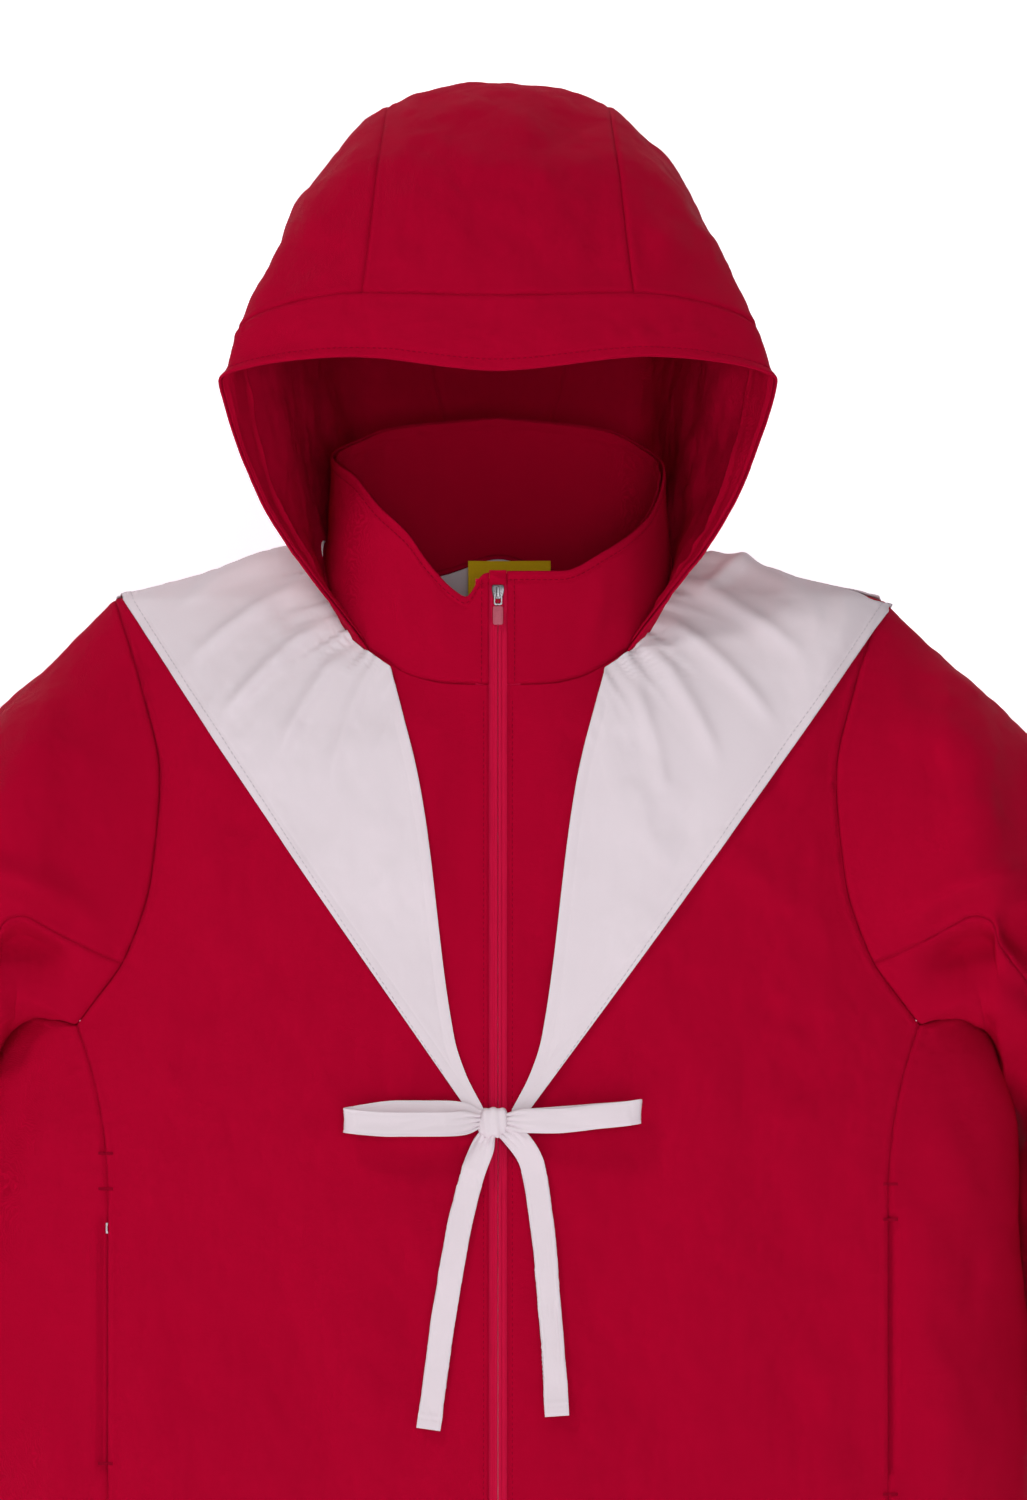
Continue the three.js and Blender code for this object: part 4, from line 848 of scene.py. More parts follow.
# ---------- collar ----------
def collar_grid(low, high, half_open):
    """The collar from one share of its height to another, open by an angle on each side of the zip."""
    count = int(170 / FINE)
    right = 360 - np.linspace(180, half_open, count)[1:]
    angles = np.concatenate([np.linspace(half_open, 180, count), right])
    half = np.where(angles > 180, 360 - angles, angles)
    bottom, top = neck_point(half), collar_top(half, angles > 180)
    t = mix(low, high, clustered(60))[:, None, None]
    g = bottom[None] * (1 - t) + top[None] * t
    g[..., 0] *= np.where(angles > 180, -1, 1)
    return g


def out_normals(g):
    n = grid_normals(g)
    return n if n[len(n) // 2, n.shape[1] // 2, 1] > 0 else -n


g = collar_grid(-0.02, 1.0, 3.03)
n = out_normals(g)
top_d = np.linalg.norm(g - g[-1:], axis=-1)
relief = 0.9 * folds(g.reshape(-1, 3), 34, 61, 2).reshape(g.shape[:-1])
calm = smooth(top_d / 14) * smooth((np.abs(g[..., 0]) - 7) / 16 + (g[..., 1] > 0))
relief = relief * calm
COLLAR_MARKS = [
    ((-62, -8), (-50, -60), 6, 1.3),
    ((66, -4), (52, -62), 6, 1.3),
    ((-34, -20), (-30, -70), 6, 0.8),
]
relief += creases(g, COLLAR_MARKS) * (g[..., 1] < 0)
ripple = noise(np.stack([g[..., 2] / 8, g[..., 0] * 0, np.sign(g[..., 0])], -1), 33)
relief += np.exp(-(((np.abs(g[..., 0]) - 6) / 6) ** 2)) * (g[..., 1] < 0) * (0.3 + 0.45 * ripple)
relief += 0.6 * np.exp(-(((top_d - 2.2) / 2.2) ** 2)) - 0.45 * np.exp(-(((top_d - 6.5) / 1.0) ** 2))
low_d = np.linalg.norm(g - g[:1], axis=-1)
relief -= 1.9 * smooth(1 - low_d / 5.0)
obj = place("collar_outer_cloth", g, n, relief, SHELL_MM, RED, ["collar_outer"])
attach(obj, "jacket")
declare(g)
for s in (1, -1):
    row = g[:, 0 if s > 0 else -1].copy()
    row[:, 0] += 4.6 * s
    stitch("collar", row[3:-2], np.tile([0, -1, 0], (len(row) - 5, 1)), 0.5)
k = int(np.argmin(np.abs(top_d[:, g.shape[1] // 2] - 6.5)))
stitch("collar", g[k] + n[k] * 0.2, n[k], 0.2)
gi = collar_grid(0.01, 0.99, 5.6)
ni = out_normals(gi)
inner_d = np.linalg.norm(gi - gi[-1:], axis=-1)
relief = 0.8 * folds(gi.reshape(-1, 3), 30, 65, 2).reshape(gi.shape[:-1]) * smooth(inner_d / 10) - 0.4
relief = relief + 0.7 * np.exp(-(((inner_d - 6.5) / 1.2) ** 2))
column = np.arange(gi.shape[1])[None] / 4.0 + gi[..., 0] * 0
pucker = noise(np.stack([column, inner_d / 12, gi[..., 0] * 0], -1), 67)
relief += 0.5 * pucker * np.exp(-((inner_d / 16) ** 2))
facing = -np.abs(relief)
obj = place("collar_facing_cloth", gi, ni, facing, 0.9, RED_SHADED_INSIDE, ["collar_facing"], base=-2.6)
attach(obj, "jacket")
declare(gi)


# ---------- sleeves ----------
# Share of the way down, the outer and the inner edge in x and z, and half the depth.
SLEEVE_STATIONS = [
    (0.14, (300, -86), (308, -316), 84),
    (0.3, (372, -158), (313, -346), 80),
    (0.46, (436, -230), (322, -358), 74),
    (0.62, (468, -318), (324, -410), 68),
    (0.8, (476, -450), (338, -490), 58),
    (0.94, (474, -565), (362, -580), 49),
    (1, (471, -612), (365, -622), 46),
]


def arm_loop(count):
    """The armhole from the shoulder point down the front, under the arm and up the back.

    Each point comes with its turn around the sleeve in degrees.
    """
    front = np.concatenate([[ridge_f[-1]], arm_f])
    under = side[-1]
    back = np.concatenate([[ridge_b[-1]], arm_b])[::-1]
    loop = np.concatenate([front, under[1:-1], back])
    run = np.concatenate([[0], np.cumsum(np.linalg.norm(np.diff(loop, axis=0), axis=1))])
    marks = [0, run[len(front) - 1], run[len(front) + len(under) - 3], run[-1]]
    at = np.linspace(0, run[-1], count, endpoint=False)
    points = np.stack([np.interp(at, run, loop[:, k]) for k in range(3)], -1)
    lowest = mix(marks[1], marks[2], 0.5)
    knots = [(marks[0], 0), (marks[1], 128), (lowest, 180), (marks[2], 232), (marks[3], 360)]
    return points, through(knots)(at)


SLEEVE_START, CUFF_START = 0.14, 0.94  # shares of the way down
arm_count = int(260 / FINE)
arm_points, arm_turn = arm_loop(arm_count)


def sleeve_surface(shares):
    def curve(pick):
        return through([(s[0], pick(s)) for s in SLEEVE_STATIONS])(np.maximum(shares, 0.1))

    ox, oz = curve(lambda s: s[1][0]), curve(lambda s: s[1][1])
    ix, iz = curve(lambda s: s[2][0]), curve(lambda s: s[2][1])
    depth = curve(lambda s: s[3])
    y = 10 * smooth(shares * 2) + 20 * smooth((shares - 0.14) / 0.2) * smooth((1 - shares) / 0.3)
    outer, inner = np.stack([ox, y, oz], -1), np.stack([ix, y, iz], -1)
    middle, across = (outer + inner) / 2, (outer - inner) / 2
    a = np.radians(arm_turn)
    g = middle[:, None] + across[:, None] * np.cos(a)[None, :, None]
    g[..., 1] -= depth[:, None] * np.sin(a)[None]
    w = smooth(shares / 0.2)[:, None, None]
    away = g[int(len(shares) * SLEEVE_START)] - arm_points
    start = arm_points[None] + away[None] * (shares / SLEEVE_START)[:, None, None]
    return start * (1 - w) + g * w


sleeve_shares = np.linspace(0, CUFF_START, int(300 / FINE))
sleeve = sleeve_surface(sleeve_shares)
cuff_shares = np.linspace(CUFF_START, 1, int(34 / FINE))
seam_front, seam_back = (int(np.argmin(np.abs(arm_turn - v))) for v in (104, 256))
# Folds on the left sleeve, seen from the front.
SLEEVE_MARKS = [
    ((238, -60), (262, -150), 10, 1.5),
    ((262, -80), (300, -190), 13, 2.4),
    ((300, -100), (330, -230), 14, -2.6),
    ((226, -240), (356, -186), 10, 7.5),
    ((240, -266), (366, -240), 18, -20.0),
    ((262, -292), (380, -282), 10, 4.5),
    ((300, -290), (420, -330), 11, 4.0),
    ((320, -330), (440, -345), 10, -3.6),
    ((330, -350), (450, -385), 11, 3.6),
    ((345, -400), (455, -430), 12, -2.8),
    ((350, -440), (460, -470), 12, 2.6),
    ((370, -500), (455, -515), 11, -2.0),
    ((372, -540), (450, -560), 10, 2.0),
    ((400, -180), (430, -300), 15, -2.4),
    ((345, -130), (400, -230), 15, 2.4),
]


def closed_normals(g):
    n = grid_normals(g, closed=True)
    k = int(np.argmin(np.abs(arm_turn)))
    return n if n[len(n) // 2, k, 0] * np.sign(g[0, 0, 0]) > 0 else -n


def sleeve_relief(g, shares, seed, marks):
    flat = g.reshape(-1, 3)
    r = 3.4 * folds(flat * [0.7, 1, 0.7], 58, seed, 2) + 1.6 * folds(flat, 26, seed + 4, 3)
    r = r.reshape(g.shape[:-1])
    r = r + creases(g, marks) * np.where(g[..., 1] < 30, 1, 0.6)
    r = r * smooth(shares / 0.09)[:, None]
    cap = g[0]
    lines = [np.concatenate([cap, cap[:1]]), g[:, seam_front], g[:, seam_back]]
    d, _ = near(g, lines[1:], 5)
    r = r * mix(0.35, 1, smooth(d / 16))
    return r + seam_relief(g, lines, 0.9, 12, seed + 9)


for tag, mirror in SIDES:
    seed = 71 if mirror > 0 else 171
    g = for_side(sleeve, mirror)
    c = for_side(sleeve_surface(cuff_shares), mirror)
    n = closed_normals(g)
    r = sleeve_relief(g, sleeve_shares, seed, side_marks(SLEEVE_MARKS, mirror))
    top = np.r_[seam_back:arm_count, 0 : seam_front + 1]
    under = np.arange(seam_front, seam_back + 1)
    for part, pick in (("top", top), ("under", under)):
        node = f"sleeve_{tag}_{part}"
        obj = place(f"{node}_cloth", g[:, pick], n[:, pick], r[:, pick], SHELL_MM, RED, [node])
        declare(g[:, pick])
        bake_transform(obj)
    nc = closed_normals(c)
    rc = r[-1][None] * (1 - smooth((cuff_shares - CUFF_START) / 0.03))[:, None]
    ring = ((cuff_shares - CUFF_START) / 0.06)[:, None]
    rc = rc + 0.8 * folds(c.reshape(-1, 3), 18, seed + 3, 2).reshape(c.shape[:-1]) * smooth(ring * 4)
    rc = rc - 0.9 * np.exp(-((ring / 0.035) ** 2)) - 0.5 * np.exp(-(((ring - 0.62) / 0.03) ** 2))
    node = f"sleeve_{tag}_cuff"
    obj = place(f"{node}_cloth", c, nc, rc, 2.4, RED, [node], closed=True)
    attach(obj, f"sleeve_{tag}")
    declare(c)


# ---------- sailor collar ----------
KNOT = np.array([-3.0, zip_y(-352) - 6.6, -352.0])
TIE_WIDTH = 15.0


def neck_edge(a, margin):
    a = np.asarray(a, float)
    p = neck_point(a)
    along = neck_point(np.minimum(180, a + 1)) - neck_point(a - 1)
    away = np.cross(along, body_normal(p))
    away /= np.linalg.norm(away, axis=-1, keepdims=True)
    away[(away[:, 0] * p[:, 0] * 0.01 - away[:, 2]) < 0] *= -1
    return p + away * margin


wing_inner_x = through([(-344.5, 8.5), (-322, 20), (-300, 27), (-144, 48), (-66, 67)])
CORNER = np.array([238.0, 0, -27.4])


def wing_grid(corner):
    rows = int(200 / FINE)
    neck = neck_edge(np.linspace(NECK_SIDE, 37, 60), 1.2)
    neck[0, 1] = 0
    z = np.linspace(neck[-1, 2], -344.5, 90)[1:]
    edge = np.concatenate([neck, on_body(wing_inner_x(z), z, True)])
    run = np.concatenate([[0], np.cumsum(np.linalg.norm(np.diff(edge, axis=0), axis=1))])
    t = np.linspace(0, 1, rows)
    inner = np.stack([np.interp(t * run[-1], run, edge[:, k]) for k in range(3)], -1)
    end = np.array([8.5, 0, -359.5])
    outer = corner + (end - corner) * (t**1.12)[:, None]
    outer[:, 2] -= 3 * np.sin(t * math.pi)
    across = clustered(90)
    x = mix(inner[:, None, 0], outer[:, None, 0], across[None])
    z = mix(inner[:, None, 2], outer[:, None, 2], across[None])
    g = on_body(x, np.minimum(z, ridge_z(x) - 0.05), True)
    g[..., 2] = np.minimum(z, ridge_z(x))
    g[:, 0] = inner
    g[0, :, 1] = 0
    return g, across


def flap_grid():
    """The back flap, between the neck and an outline given with the neck angle that faces each corner."""
    outline = [
        (NECK_SIDE, CORNER), (104, (236, 0, -37)), (108, (234, 0, -58)), (116, (228, 0, -100)),
        (125, (220, 0, -145)), (133, (214, 0, -186)), (145, (150, 0, -190)), (162, (75, 0, -192)),
        (180, (0, 0, -193)),
    ]
    run = [0.0]
    for (_, p), (_, q) in zip(outline, outline[1:]):
        run.append(run[-1] + float(np.linalg.norm(np.array(p) - np.array(q))))
    t = np.linspace(0, run[-1], int(200 / FINE))
    angle = through([(r, a) for r, (a, _) in zip(run, outline)])(t)
    outer = np.stack([np.interp(t, run, [p[k] for _, p in outline]) for k in range(3)], -1)
    inner = neck_edge(angle, 1.2)
    inner[0, 1] = 0
    out = clustered(110)[:, None, None]
    g = inner[None] * (1 - out) + outer[None] * out
    x, z = g[..., 0], g[..., 2]
    on = on_body(x, np.minimum(z, ridge_z(x) - 0.05), False)
    on[..., 2] = np.minimum(z, ridge_z(x))
    on[0] = inner
    on[:, 0, 1] = 0
    return np.concatenate([on, flip(on)[:, -2::-1]], 1)


def tie_relief(g, seed, marks, edges):
    under = np.maximum(body_relief(g), -0.6)
    own = 1.0 * folds(g.reshape(-1, 3) * [0.8, 0.6, 0.8], 38, seed, 2).reshape(g.shape[:-1])
    own = own + creases(g, marks)
    d, s = near(g, edges, 4)
    hem = 0.3 * np.exp(-(((d - 2.5) / 2.6) ** 2)) - 0.2 * np.exp(-(((d - 6.8) / 1.0) ** 2))
    wave = noise(np.stack([s / 12, d / 40, s * 0 + seed], -1), seed) * 0.5 * np.exp(-d / 12)
    dn, sn = near(g, [neck_line], 2)
    pucker = noise(np.stack([sn / 6.5, dn / 70, sn * 0 + seed], -1), seed + 3)
    pucker = pucker + 0.5 * noise(np.stack([sn / 3.2, dn / 30, sn * 0], -1), seed + 4)
    own = own + 2.4 * pucker * np.exp(-dn / 26)
    return under + 2.2 + np.maximum(own * smooth(d / 14), -1.2) + hem + wave


GATHERS = [
    ((98, -12), (196, -72), 5, 5.0),
    ((92, -34), (176, -112), 5, 4.6),
    ((84, -50), (140, -138), 5, 3.8),
    ((74, -64), (104, -160), 5, 2.6),
    ((104, 2), (205, -36), 5, 5.0),
    ((66, -90), (60, -250), 9, 1.6),
    ((128, -110), (70, -252), 12, -1.4),
]
for tag, mirror in SIDES:
    wing, wing_across = wing_grid(np.array([245.0, 0, -31.5] if mirror > 0 else [236.0, 0, -24.5]))
    g = for_side(wing, mirror)
    marks = side_marks(GATHERS, mirror, 1 if mirror < 0 else 0.8)
    if mirror > 0:
        marks.append(((118, -30), (188, 6), 5, 4.5))
    n_neck = int(g.shape[0] * 0.36)
    edges = [g[:, -1], g[n_neck:, 0]]
    r = tie_relief(g, 81 if mirror > 0 else 91, marks, edges)
    tip = smooth((np.arange(g.shape[0]) / g.shape[0] - 0.86) / 0.14)[:, None]
    r = r * (1 - tip) + 3.4 * tip
    n = body_normal(g)
    obj = place(f"sailor_collar_{tag}_cloth", g, n, r, 1.1, PALE, [f"sailor_collar_{tag}"])
    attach(obj, "jacket")
    declare(g)
    k = int(np.argmin(np.abs(wing_across - 0.955)))
    stop = int(g.shape[0] * 0.9)
    line = g[:stop, k] + n[:stop, k] * r[:stop, k, None]
    stitch("tie", line, n[:stop, k], 0.05, material=PALE_THREAD)
flap = flap_grid()
marks = [((-60, -40), (-90, -150), 12, 2.0), ((70, -50), (100, -160), 12, 2.0)]
r = tie_relief(flap, 101, marks, [flap[-1]])
n = body_normal(flap)
obj = place("sailor_collar_back_cloth", flap, n, r, 1.1, PALE, ["sailor_collar_back"])
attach(obj, "jacket")
declare(flap)


# ---------- settling cloth ----------
SETTLE_GAP, SETTLE_FRAMES = 1.6, 26


def grid_mesh(name, g):
    """A single sheet of faces over a grid."""
    rows, columns = g.shape[:2]
    index = np.arange(rows * columns).reshape(rows, columns)
    quads = np.stack([index[:-1, :-1], index[:-1, 1:], index[1:, 1:], index[1:, :-1]], -1).reshape(-1, 4)
    return mesh_from(name, g.reshape(-1, 3), quads, PALE)


def settle(g, held):
    """Lets a sheet of cloth, held at some of its points, sink onto the jacket lying on its back."""
    sheet = grid_mesh("settle_sheet", g)
    pins = sheet.vertex_groups.new(name="held")
    for weight in (0.35, 1.0):
        pins.add([int(k) for k in np.flatnonzero(held.ravel() >= weight)], weight, "REPLACE")
    low, high = g.reshape(-1, 3).min(0) - 20, g.reshape(-1, 3).max(0) + 20
    x, z = np.meshgrid(np.arange(low[0], high[0], 5.0), np.arange(low[2], high[2], 5.0))
    ground = on_body(x, np.minimum(z, ridge_z(np.abs(x)) - 1), True)
    ground = ground + body_normal(ground) * (body_relief(ground) + 0.4)[..., None]
    floor = grid_mesh("settle_ground", ground)
    floor.modifiers.new("stop", "COLLISION")
    floor.collision.thickness_outer = 0.0008
    floor.collision.cloth_friction = 20
    cloth_modifier = sheet.modifiers.new("cloth", "CLOTH")
    settings = cloth_modifier.settings
    settings.quality, settings.mass, settings.air_damping = 8, 0.25, 4
    settings.tension_stiffness = settings.compression_stiffness = 30
    settings.shear_stiffness, settings.bending_stiffness = 20, 1.2
    settings.vertex_group_mass, settings.pin_stiffness = "held", 1.0
    cloth_modifier.collision_settings.distance_min = SETTLE_GAP * MM
    cloth_modifier.collision_settings.use_self_collision = False
    cloth_modifier.point_cache.frame_start = 1
    cloth_modifier.point_cache.frame_end = SETTLE_FRAMES
    was = tuple(SCENE.gravity)
    SCENE.gravity = (0, 9.81, 0)
    for frame_number in range(1, SETTLE_FRAMES + 1):
        SCENE.frame_set(frame_number)
    depsgraph = bpy.context.evaluated_depsgraph_get()
    mesh = sheet.evaluated_get(depsgraph).to_mesh()
    points = np.empty(g.size)
    mesh.vertices.foreach_get("co", points)
    points = points.reshape(g.shape) / MM
    SCENE.gravity = was
    for obj in (sheet, floor):
        data = obj.data
        bpy.data.objects.remove(obj)
        bpy.data.meshes.remove(data)
    SCENE.frame_set(1)
    moved = np.linalg.norm(points - g, axis=-1)
    print("settled", round(float(moved.mean()), 2), round(float(moved.max()), 2))
    return points


# ---------- bow ----------
RIBBON_MM = 1.0
END_FOLD = 8.5  # mm turned up at the end of a tail


def ribbon(name, path, tilt, node, pinch, seed, tail=False):
    """A flat ribbon along a path; tilt holds the ribbon's width direction at each path point.

    A loop is gathered at both ends, and a tail at its first end, with a stitched fold at the other.
    """
    path, tilt = np.array(path, float), np.array(tilt, float)
    run = np.concatenate([[0], np.cumsum(np.linalg.norm(np.diff(path, axis=0), axis=1))])
    at = np.linspace(0, run[-1], int(max(40, run[-1] / 1.1)))
    p = np.stack([through(list(zip(run, path[:, k])))(at) for k in range(3)], -1)
    way = np.gradient(p, axis=0)
    way /= np.linalg.norm(way, axis=1, keepdims=True)
    across = np.stack([through(list(zip(run, tilt[:, k])))(at) for k in range(3)], -1)
    across -= way * (across * way).sum(1, keepdims=True)
    across /= np.linalg.norm(across, axis=1, keepdims=True)
    face = np.cross(way, across)
    v = clustered(22, share=0.25) - 0.5
    narrow = 1 - pinch * np.exp(-((at / 7) ** 2))
    if not tail:
        narrow = narrow - pinch * np.exp(-(((run[-1] - at) / 7) ** 2))
    g = p[:, None] + across[:, None] * (v[None, :, None] * (TIE_WIDTH * narrow)[:, None, None])
    down, over = at[:, None] + v[None] * 0, v[None] + at[:, None] * 0
    bend = np.linalg.norm(np.gradient(way, axis=0), axis=1) / np.gradient(at)
    flat = np.exp(-((bend / 0.05) ** 2))[:, None]
    uneven = noise(np.stack([down / 14 + over * 2, over * 3, down * 0 + seed], -1), seed)
    bulge = flat * 0.55 * (1 - (2 * v) ** 2)[None] + flat * 0.5 * uneven
    gather = np.exp(-((at / 12) ** 2))[:, None] * 0.9 * np.sin(v[None] * 22 + seed)
    edge = (0.5 - np.abs(v)) * TIE_WIDTH
    ends = np.zeros(len(at))[:, None] - 0.18 * np.exp(-(((edge - 1.8) / 0.5) ** 2))[None]
    g = g + face[:, None] * (bulge + gather)[..., None]
    if tail:
        held_at = np.repeat((at < 26)[:, None] * 1.0, len(v), 1)
        held_at[-6:] = 0.35
        g = settle(g, held_at)
        ends = ends + 0.5 * smooth((at - run[-1] + 8) / 1.0)[:, None]
        ends = ends - 0.3 * np.exp(-(((at - run[-1] + END_FOLD) / 0.6) ** 2))[:, None]
    n = grid_normals(g)
    obj = place(name, g, n, RIBBON_MM / 2 + ends, RIBBON_MM, PALE, [node])
    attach(obj, "jacket")
    if tail:
        dashes = (0.05, 2.0, 0.9, 0.4, PALE_THREAD)
        for side in (2, -3):
            stitch("tie", g[:-4, side] + n[:-4, side] * 0.5, n[:-4, side], *dashes)
        k = int(np.argmin(np.abs(at - run[-1] + END_FOLD)))
        stitch("tie", g[k, 1:-1] + n[k, 1:-1] * 0.5, n[k, 1:-1], *dashes)


KX, KY, KZ = KNOT
ribbon(
    "bow_loop_right_ribbon",
    [
        (KX - 7, KY - 1.5, KZ + 1), (-34, KY - 9, KZ - 1), (-66, KY - 11.5, KZ - 1),
        (-88, KY - 9, KZ + 0.5), (-94.5, KY - 5, KZ + 1.5), (-89, KY - 1.0, KZ + 2.5),
        (-62, KY + 0.6, KZ + 6), (-34, KY + 1.6, KZ + 6), (KX - 7, KY + 2.4, KZ + 3),
    ],
    [
        (0, 0.1, 1), (0, 0.2, 1), (0, 0.2, 1), (0, 0.12, 1), (0, 0.05, 1),
        (0, 0, 1), (0, -0.1, 1), (0, -0.1, 1), (0, 0, 1),
    ],
    "bow_loop_right", pinch=0.42, seed=3,
)
ribbon(
    "bow_loop_left_ribbon",
    [
        (KX + 7, KY - 1.5, KZ + 1), (34, KY - 7, KZ + 1), (64, KY - 8, KZ + 4),
        (82, KY - 6.5, KZ + 6), (88, KY - 3, KZ + 7), (84, KY - 0.4, KZ + 6),
        (60, KY + 0.6, KZ + 4), (34, KY + 1.6, KZ + 2), (KX + 7, KY + 2.4, KZ),
    ],
    [
        (0, 0.1, 1), (0, 0.12, 1), (0.05, 0.1, 1), (0.1, 0.05, 1), (0.1, 0, 1),
        (0.1, 0, 1), (0, 0, 1), (0, 0, 1), (0, 0, 1),
    ],
    "bow_loop_left", pinch=0.42, seed=5,
)


def lying(x, z, lift):
    """A point a little off the front of the body."""
    return (x, float(body_y(np.array(x), np.array(z), True)) - lift, z)


ribbon(
    "bow_tail_right_ribbon",
    [
        (KX - 3, KY - 1, KZ - 6), (KX - 6, KY + 0.5, KZ - 14), lying(-16, -385, 4.5), lying(-25, -420, 4.2),
        lying(-33, -470, 4.4), lying(-39, -515, 4.4), lying(-43, -542, 4.6),
    ],
    [(1, 0, 0), (1, -0.2, 0), (1, -0.1, -0.1), (1, 0, -0.1), (1, 0.05, 0), (1, 0, 0), (1, 0, 0)],
    "bow_tail_right", pinch=0.35, seed=7, tail=True,
)
ribbon(
    "bow_tail_left_ribbon",
    [
        (KX + 5, KY - 1.5, KZ - 4), (13, KY - 1.8, KZ - 12), lying(21, -378, 4.8), lying(26, -412, 4.4),
        lying(30, -460, 4.4), lying(34, -505, 4.4), lying(36.5, -534, 4.6),
    ],
    [
        (0.8, 0, 0.5), (0.9, -0.1, 0.3), (1, -0.1, 0.15), (1, 0.15, 0.05),
        (1, 0, 0), (1, 0, 0.05), (1, 0, 0),
    ],
    "bow_tail_left", pinch=0.35, seed=9, tail=True,
)
# The knot is a rounded box with the wraps of the ribbon around it.
KNOT_ROWS, KNOT_COLUMNS = 40, 72
lat = np.linspace(-math.pi / 2, math.pi / 2, KNOT_ROWS)[:, None]
lon = np.linspace(-math.pi, math.pi, KNOT_COLUMNS, endpoint=False)[None]
unit = np.stack([np.cos(lat) * np.cos(lon), np.cos(lat) * np.sin(lon), np.sin(lat) + 0 * lon], -1)
boxed = np.sign(unit) * np.abs(unit) ** 0.62
wrap = 0.55 * np.sin(boxed[..., 0] * 9 + boxed[..., 2] * 2.2)
wrap = wrap + 0.3 * noise(boxed.reshape(-1, 3) * 2.4, 12).reshape(boxed.shape[:-1])
band = boxed * np.array([8.6, 5.9, 9.2]) * (1 + 0.1 * wrap[..., None])
band[..., 0] += 0.9 * np.sin(boxed[..., 2] * 1.4)
index = np.arange(KNOT_ROWS * KNOT_COLUMNS).reshape(KNOT_ROWS, KNOT_COLUMNS)
nxt = np.roll(index, -1, 1)
quads = np.stack([index[:-1], nxt[:-1], nxt[1:], index[1:]], -1).reshape(-1, 4)
obj = mesh_from("bow_knot_cloth", (band + KNOT).reshape(-1, 3), quads, PALE)
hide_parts("bow_knot")
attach(obj, "jacket")


# ---------- zip ----------
def strip_grid(x0, x1, y, top, bottom, columns, pitch):
    z = np.arange(bottom, top, pitch)
    x = np.linspace(x0, x1, columns)
    g = np.zeros((len(z), columns, 3))
    g[..., 0], g[..., 2] = x[None], z[:, None]
    g[..., 1] = zip_y(g[..., 2]) + y
    return g


FRONT = np.array([0, -1, 0])
TAPE_RIB, TOOTH_PITCH = 2.2, 1.5
tape_low, tape_high = cad("zip_tape_left")
for tag, mirror in SIDES:
    g = strip_grid(0.12, 14.0, 1.05, tape_high[2], tape_low[2], 40, 1.1 * FINE)
    x = g[..., 0]
    cord = np.exp(-(((x - 1.3) / 1.0) ** 2))
    relief = 0.75 * cord - 0.5 * np.exp(-(((x - 2.8) / 0.4) ** 2)) + 0.2 * np.exp(-(((x - 4.0) / 0.5) ** 2))
    ribs = np.sin(g[..., 2] * 2 * math.pi / TAPE_RIB)
    relief += 0.07 * np.sin(x * 9.0) * (x > 2.6) + 0.16 * cord * ribs
    relief += 0.25 * folds(g.reshape(-1, 3), 16, 121, 2).reshape(x.shape) * (x > 2)
    g = for_side(g, mirror)
    node = f"zip_tape_{tag}"
    obj = place(f"{node}_ribbed", g, np.broadcast_to(FRONT, g.shape), relief, 0.6, TAPE, [node])
    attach(obj, "jacket")
    low, high = cad(f"zip_coil_{tag}")
    g = strip_grid(low[0], high[0], 2.6, high[2], low[2], 8, 0.45 * FINE)
    arch = np.sin(np.linspace(0, math.pi, 8))[None]
    relief = 0.9 * arch + 0.25 * np.sin(g[..., 2] * 2 * math.pi / TOOTH_PITCH) * arch
    node = f"zip_coil_{tag}"
    obj = place(f"{node}_teeth", g, np.broadcast_to(-FRONT, g.shape), relief, 1.0, COIL, [node])
    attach(obj, "jacket")


CORNER_STEPS = 6


def plate(name, outline, y0, y1, bevel, material, body, nodes=(), hole=None):
    """A plate with rounded edges: outline in x and z, from y0 to y1 behind the zip line."""
    bm = bmesh.new()

    def ring(line):
        return [bm.verts.new(Vector((x, float(zip_y(z)) + y0, z)) * MM) for x, z in line]

    verts = ring(outline)
    face = bm.faces.new(verts)
    if hole:
        inner = ring(hole)
        bm.faces.remove(face)
        edges = [bm.edges.get((a, b)) or bm.edges.new((a, b)) for a, b in zip(verts, verts[1:] + verts[:1])]
        edges += [bm.edges.new((a, b)) for a, b in zip(inner, inner[1:] + inner[:1])]
        bmesh.ops.triangle_fill(bm, edges=edges, use_beauty=True)
    out = bmesh.ops.extrude_face_region(bm, geom=list(bm.faces))
    moved = [v for v in out["geom"] if isinstance(v, bmesh.types.BMVert)]
    bmesh.ops.translate(bm, verts=moved, vec=(0, (y1 - y0) * MM, 0))
    bmesh.ops.recalc_face_normals(bm, faces=bm.faces)
    sharp = [e for e in bm.edges if e.calc_face_angle(0) > 0.6]
    bmesh.ops.bevel(bm, geom=sharp, offset=bevel * MM, segments=3, profile=0.5, affect="EDGES")
    mesh = bpy.data.meshes.new(name)
    bm.to_mesh(mesh)
    bm.free()
    mesh.materials.append(material)
    for polygon in mesh.polygons:
        polygon.use_smooth = True
    obj = bpy.data.objects.new(name, mesh)
    SCENE.collection.objects.link(obj)
    if nodes:
        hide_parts(*nodes)
    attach(obj, body)


def round_box(cx, cz, w, h, r):
    """A rectangle in x and z with rounded corners."""
    points = []
    for sx, sz, start in ((1, 1, 0), (-1, 1, 90), (-1, -1, 180), (1, -1, 270)):
        for k in range(CORNER_STEPS + 1):
            a = math.radians(start + 90 * k / CORNER_STEPS)
            points.append((cx + sx * (w / 2 - r) + r * math.cos(a), cz + sz * (h / 2 - r) + r * math.sin(a)))
    return points


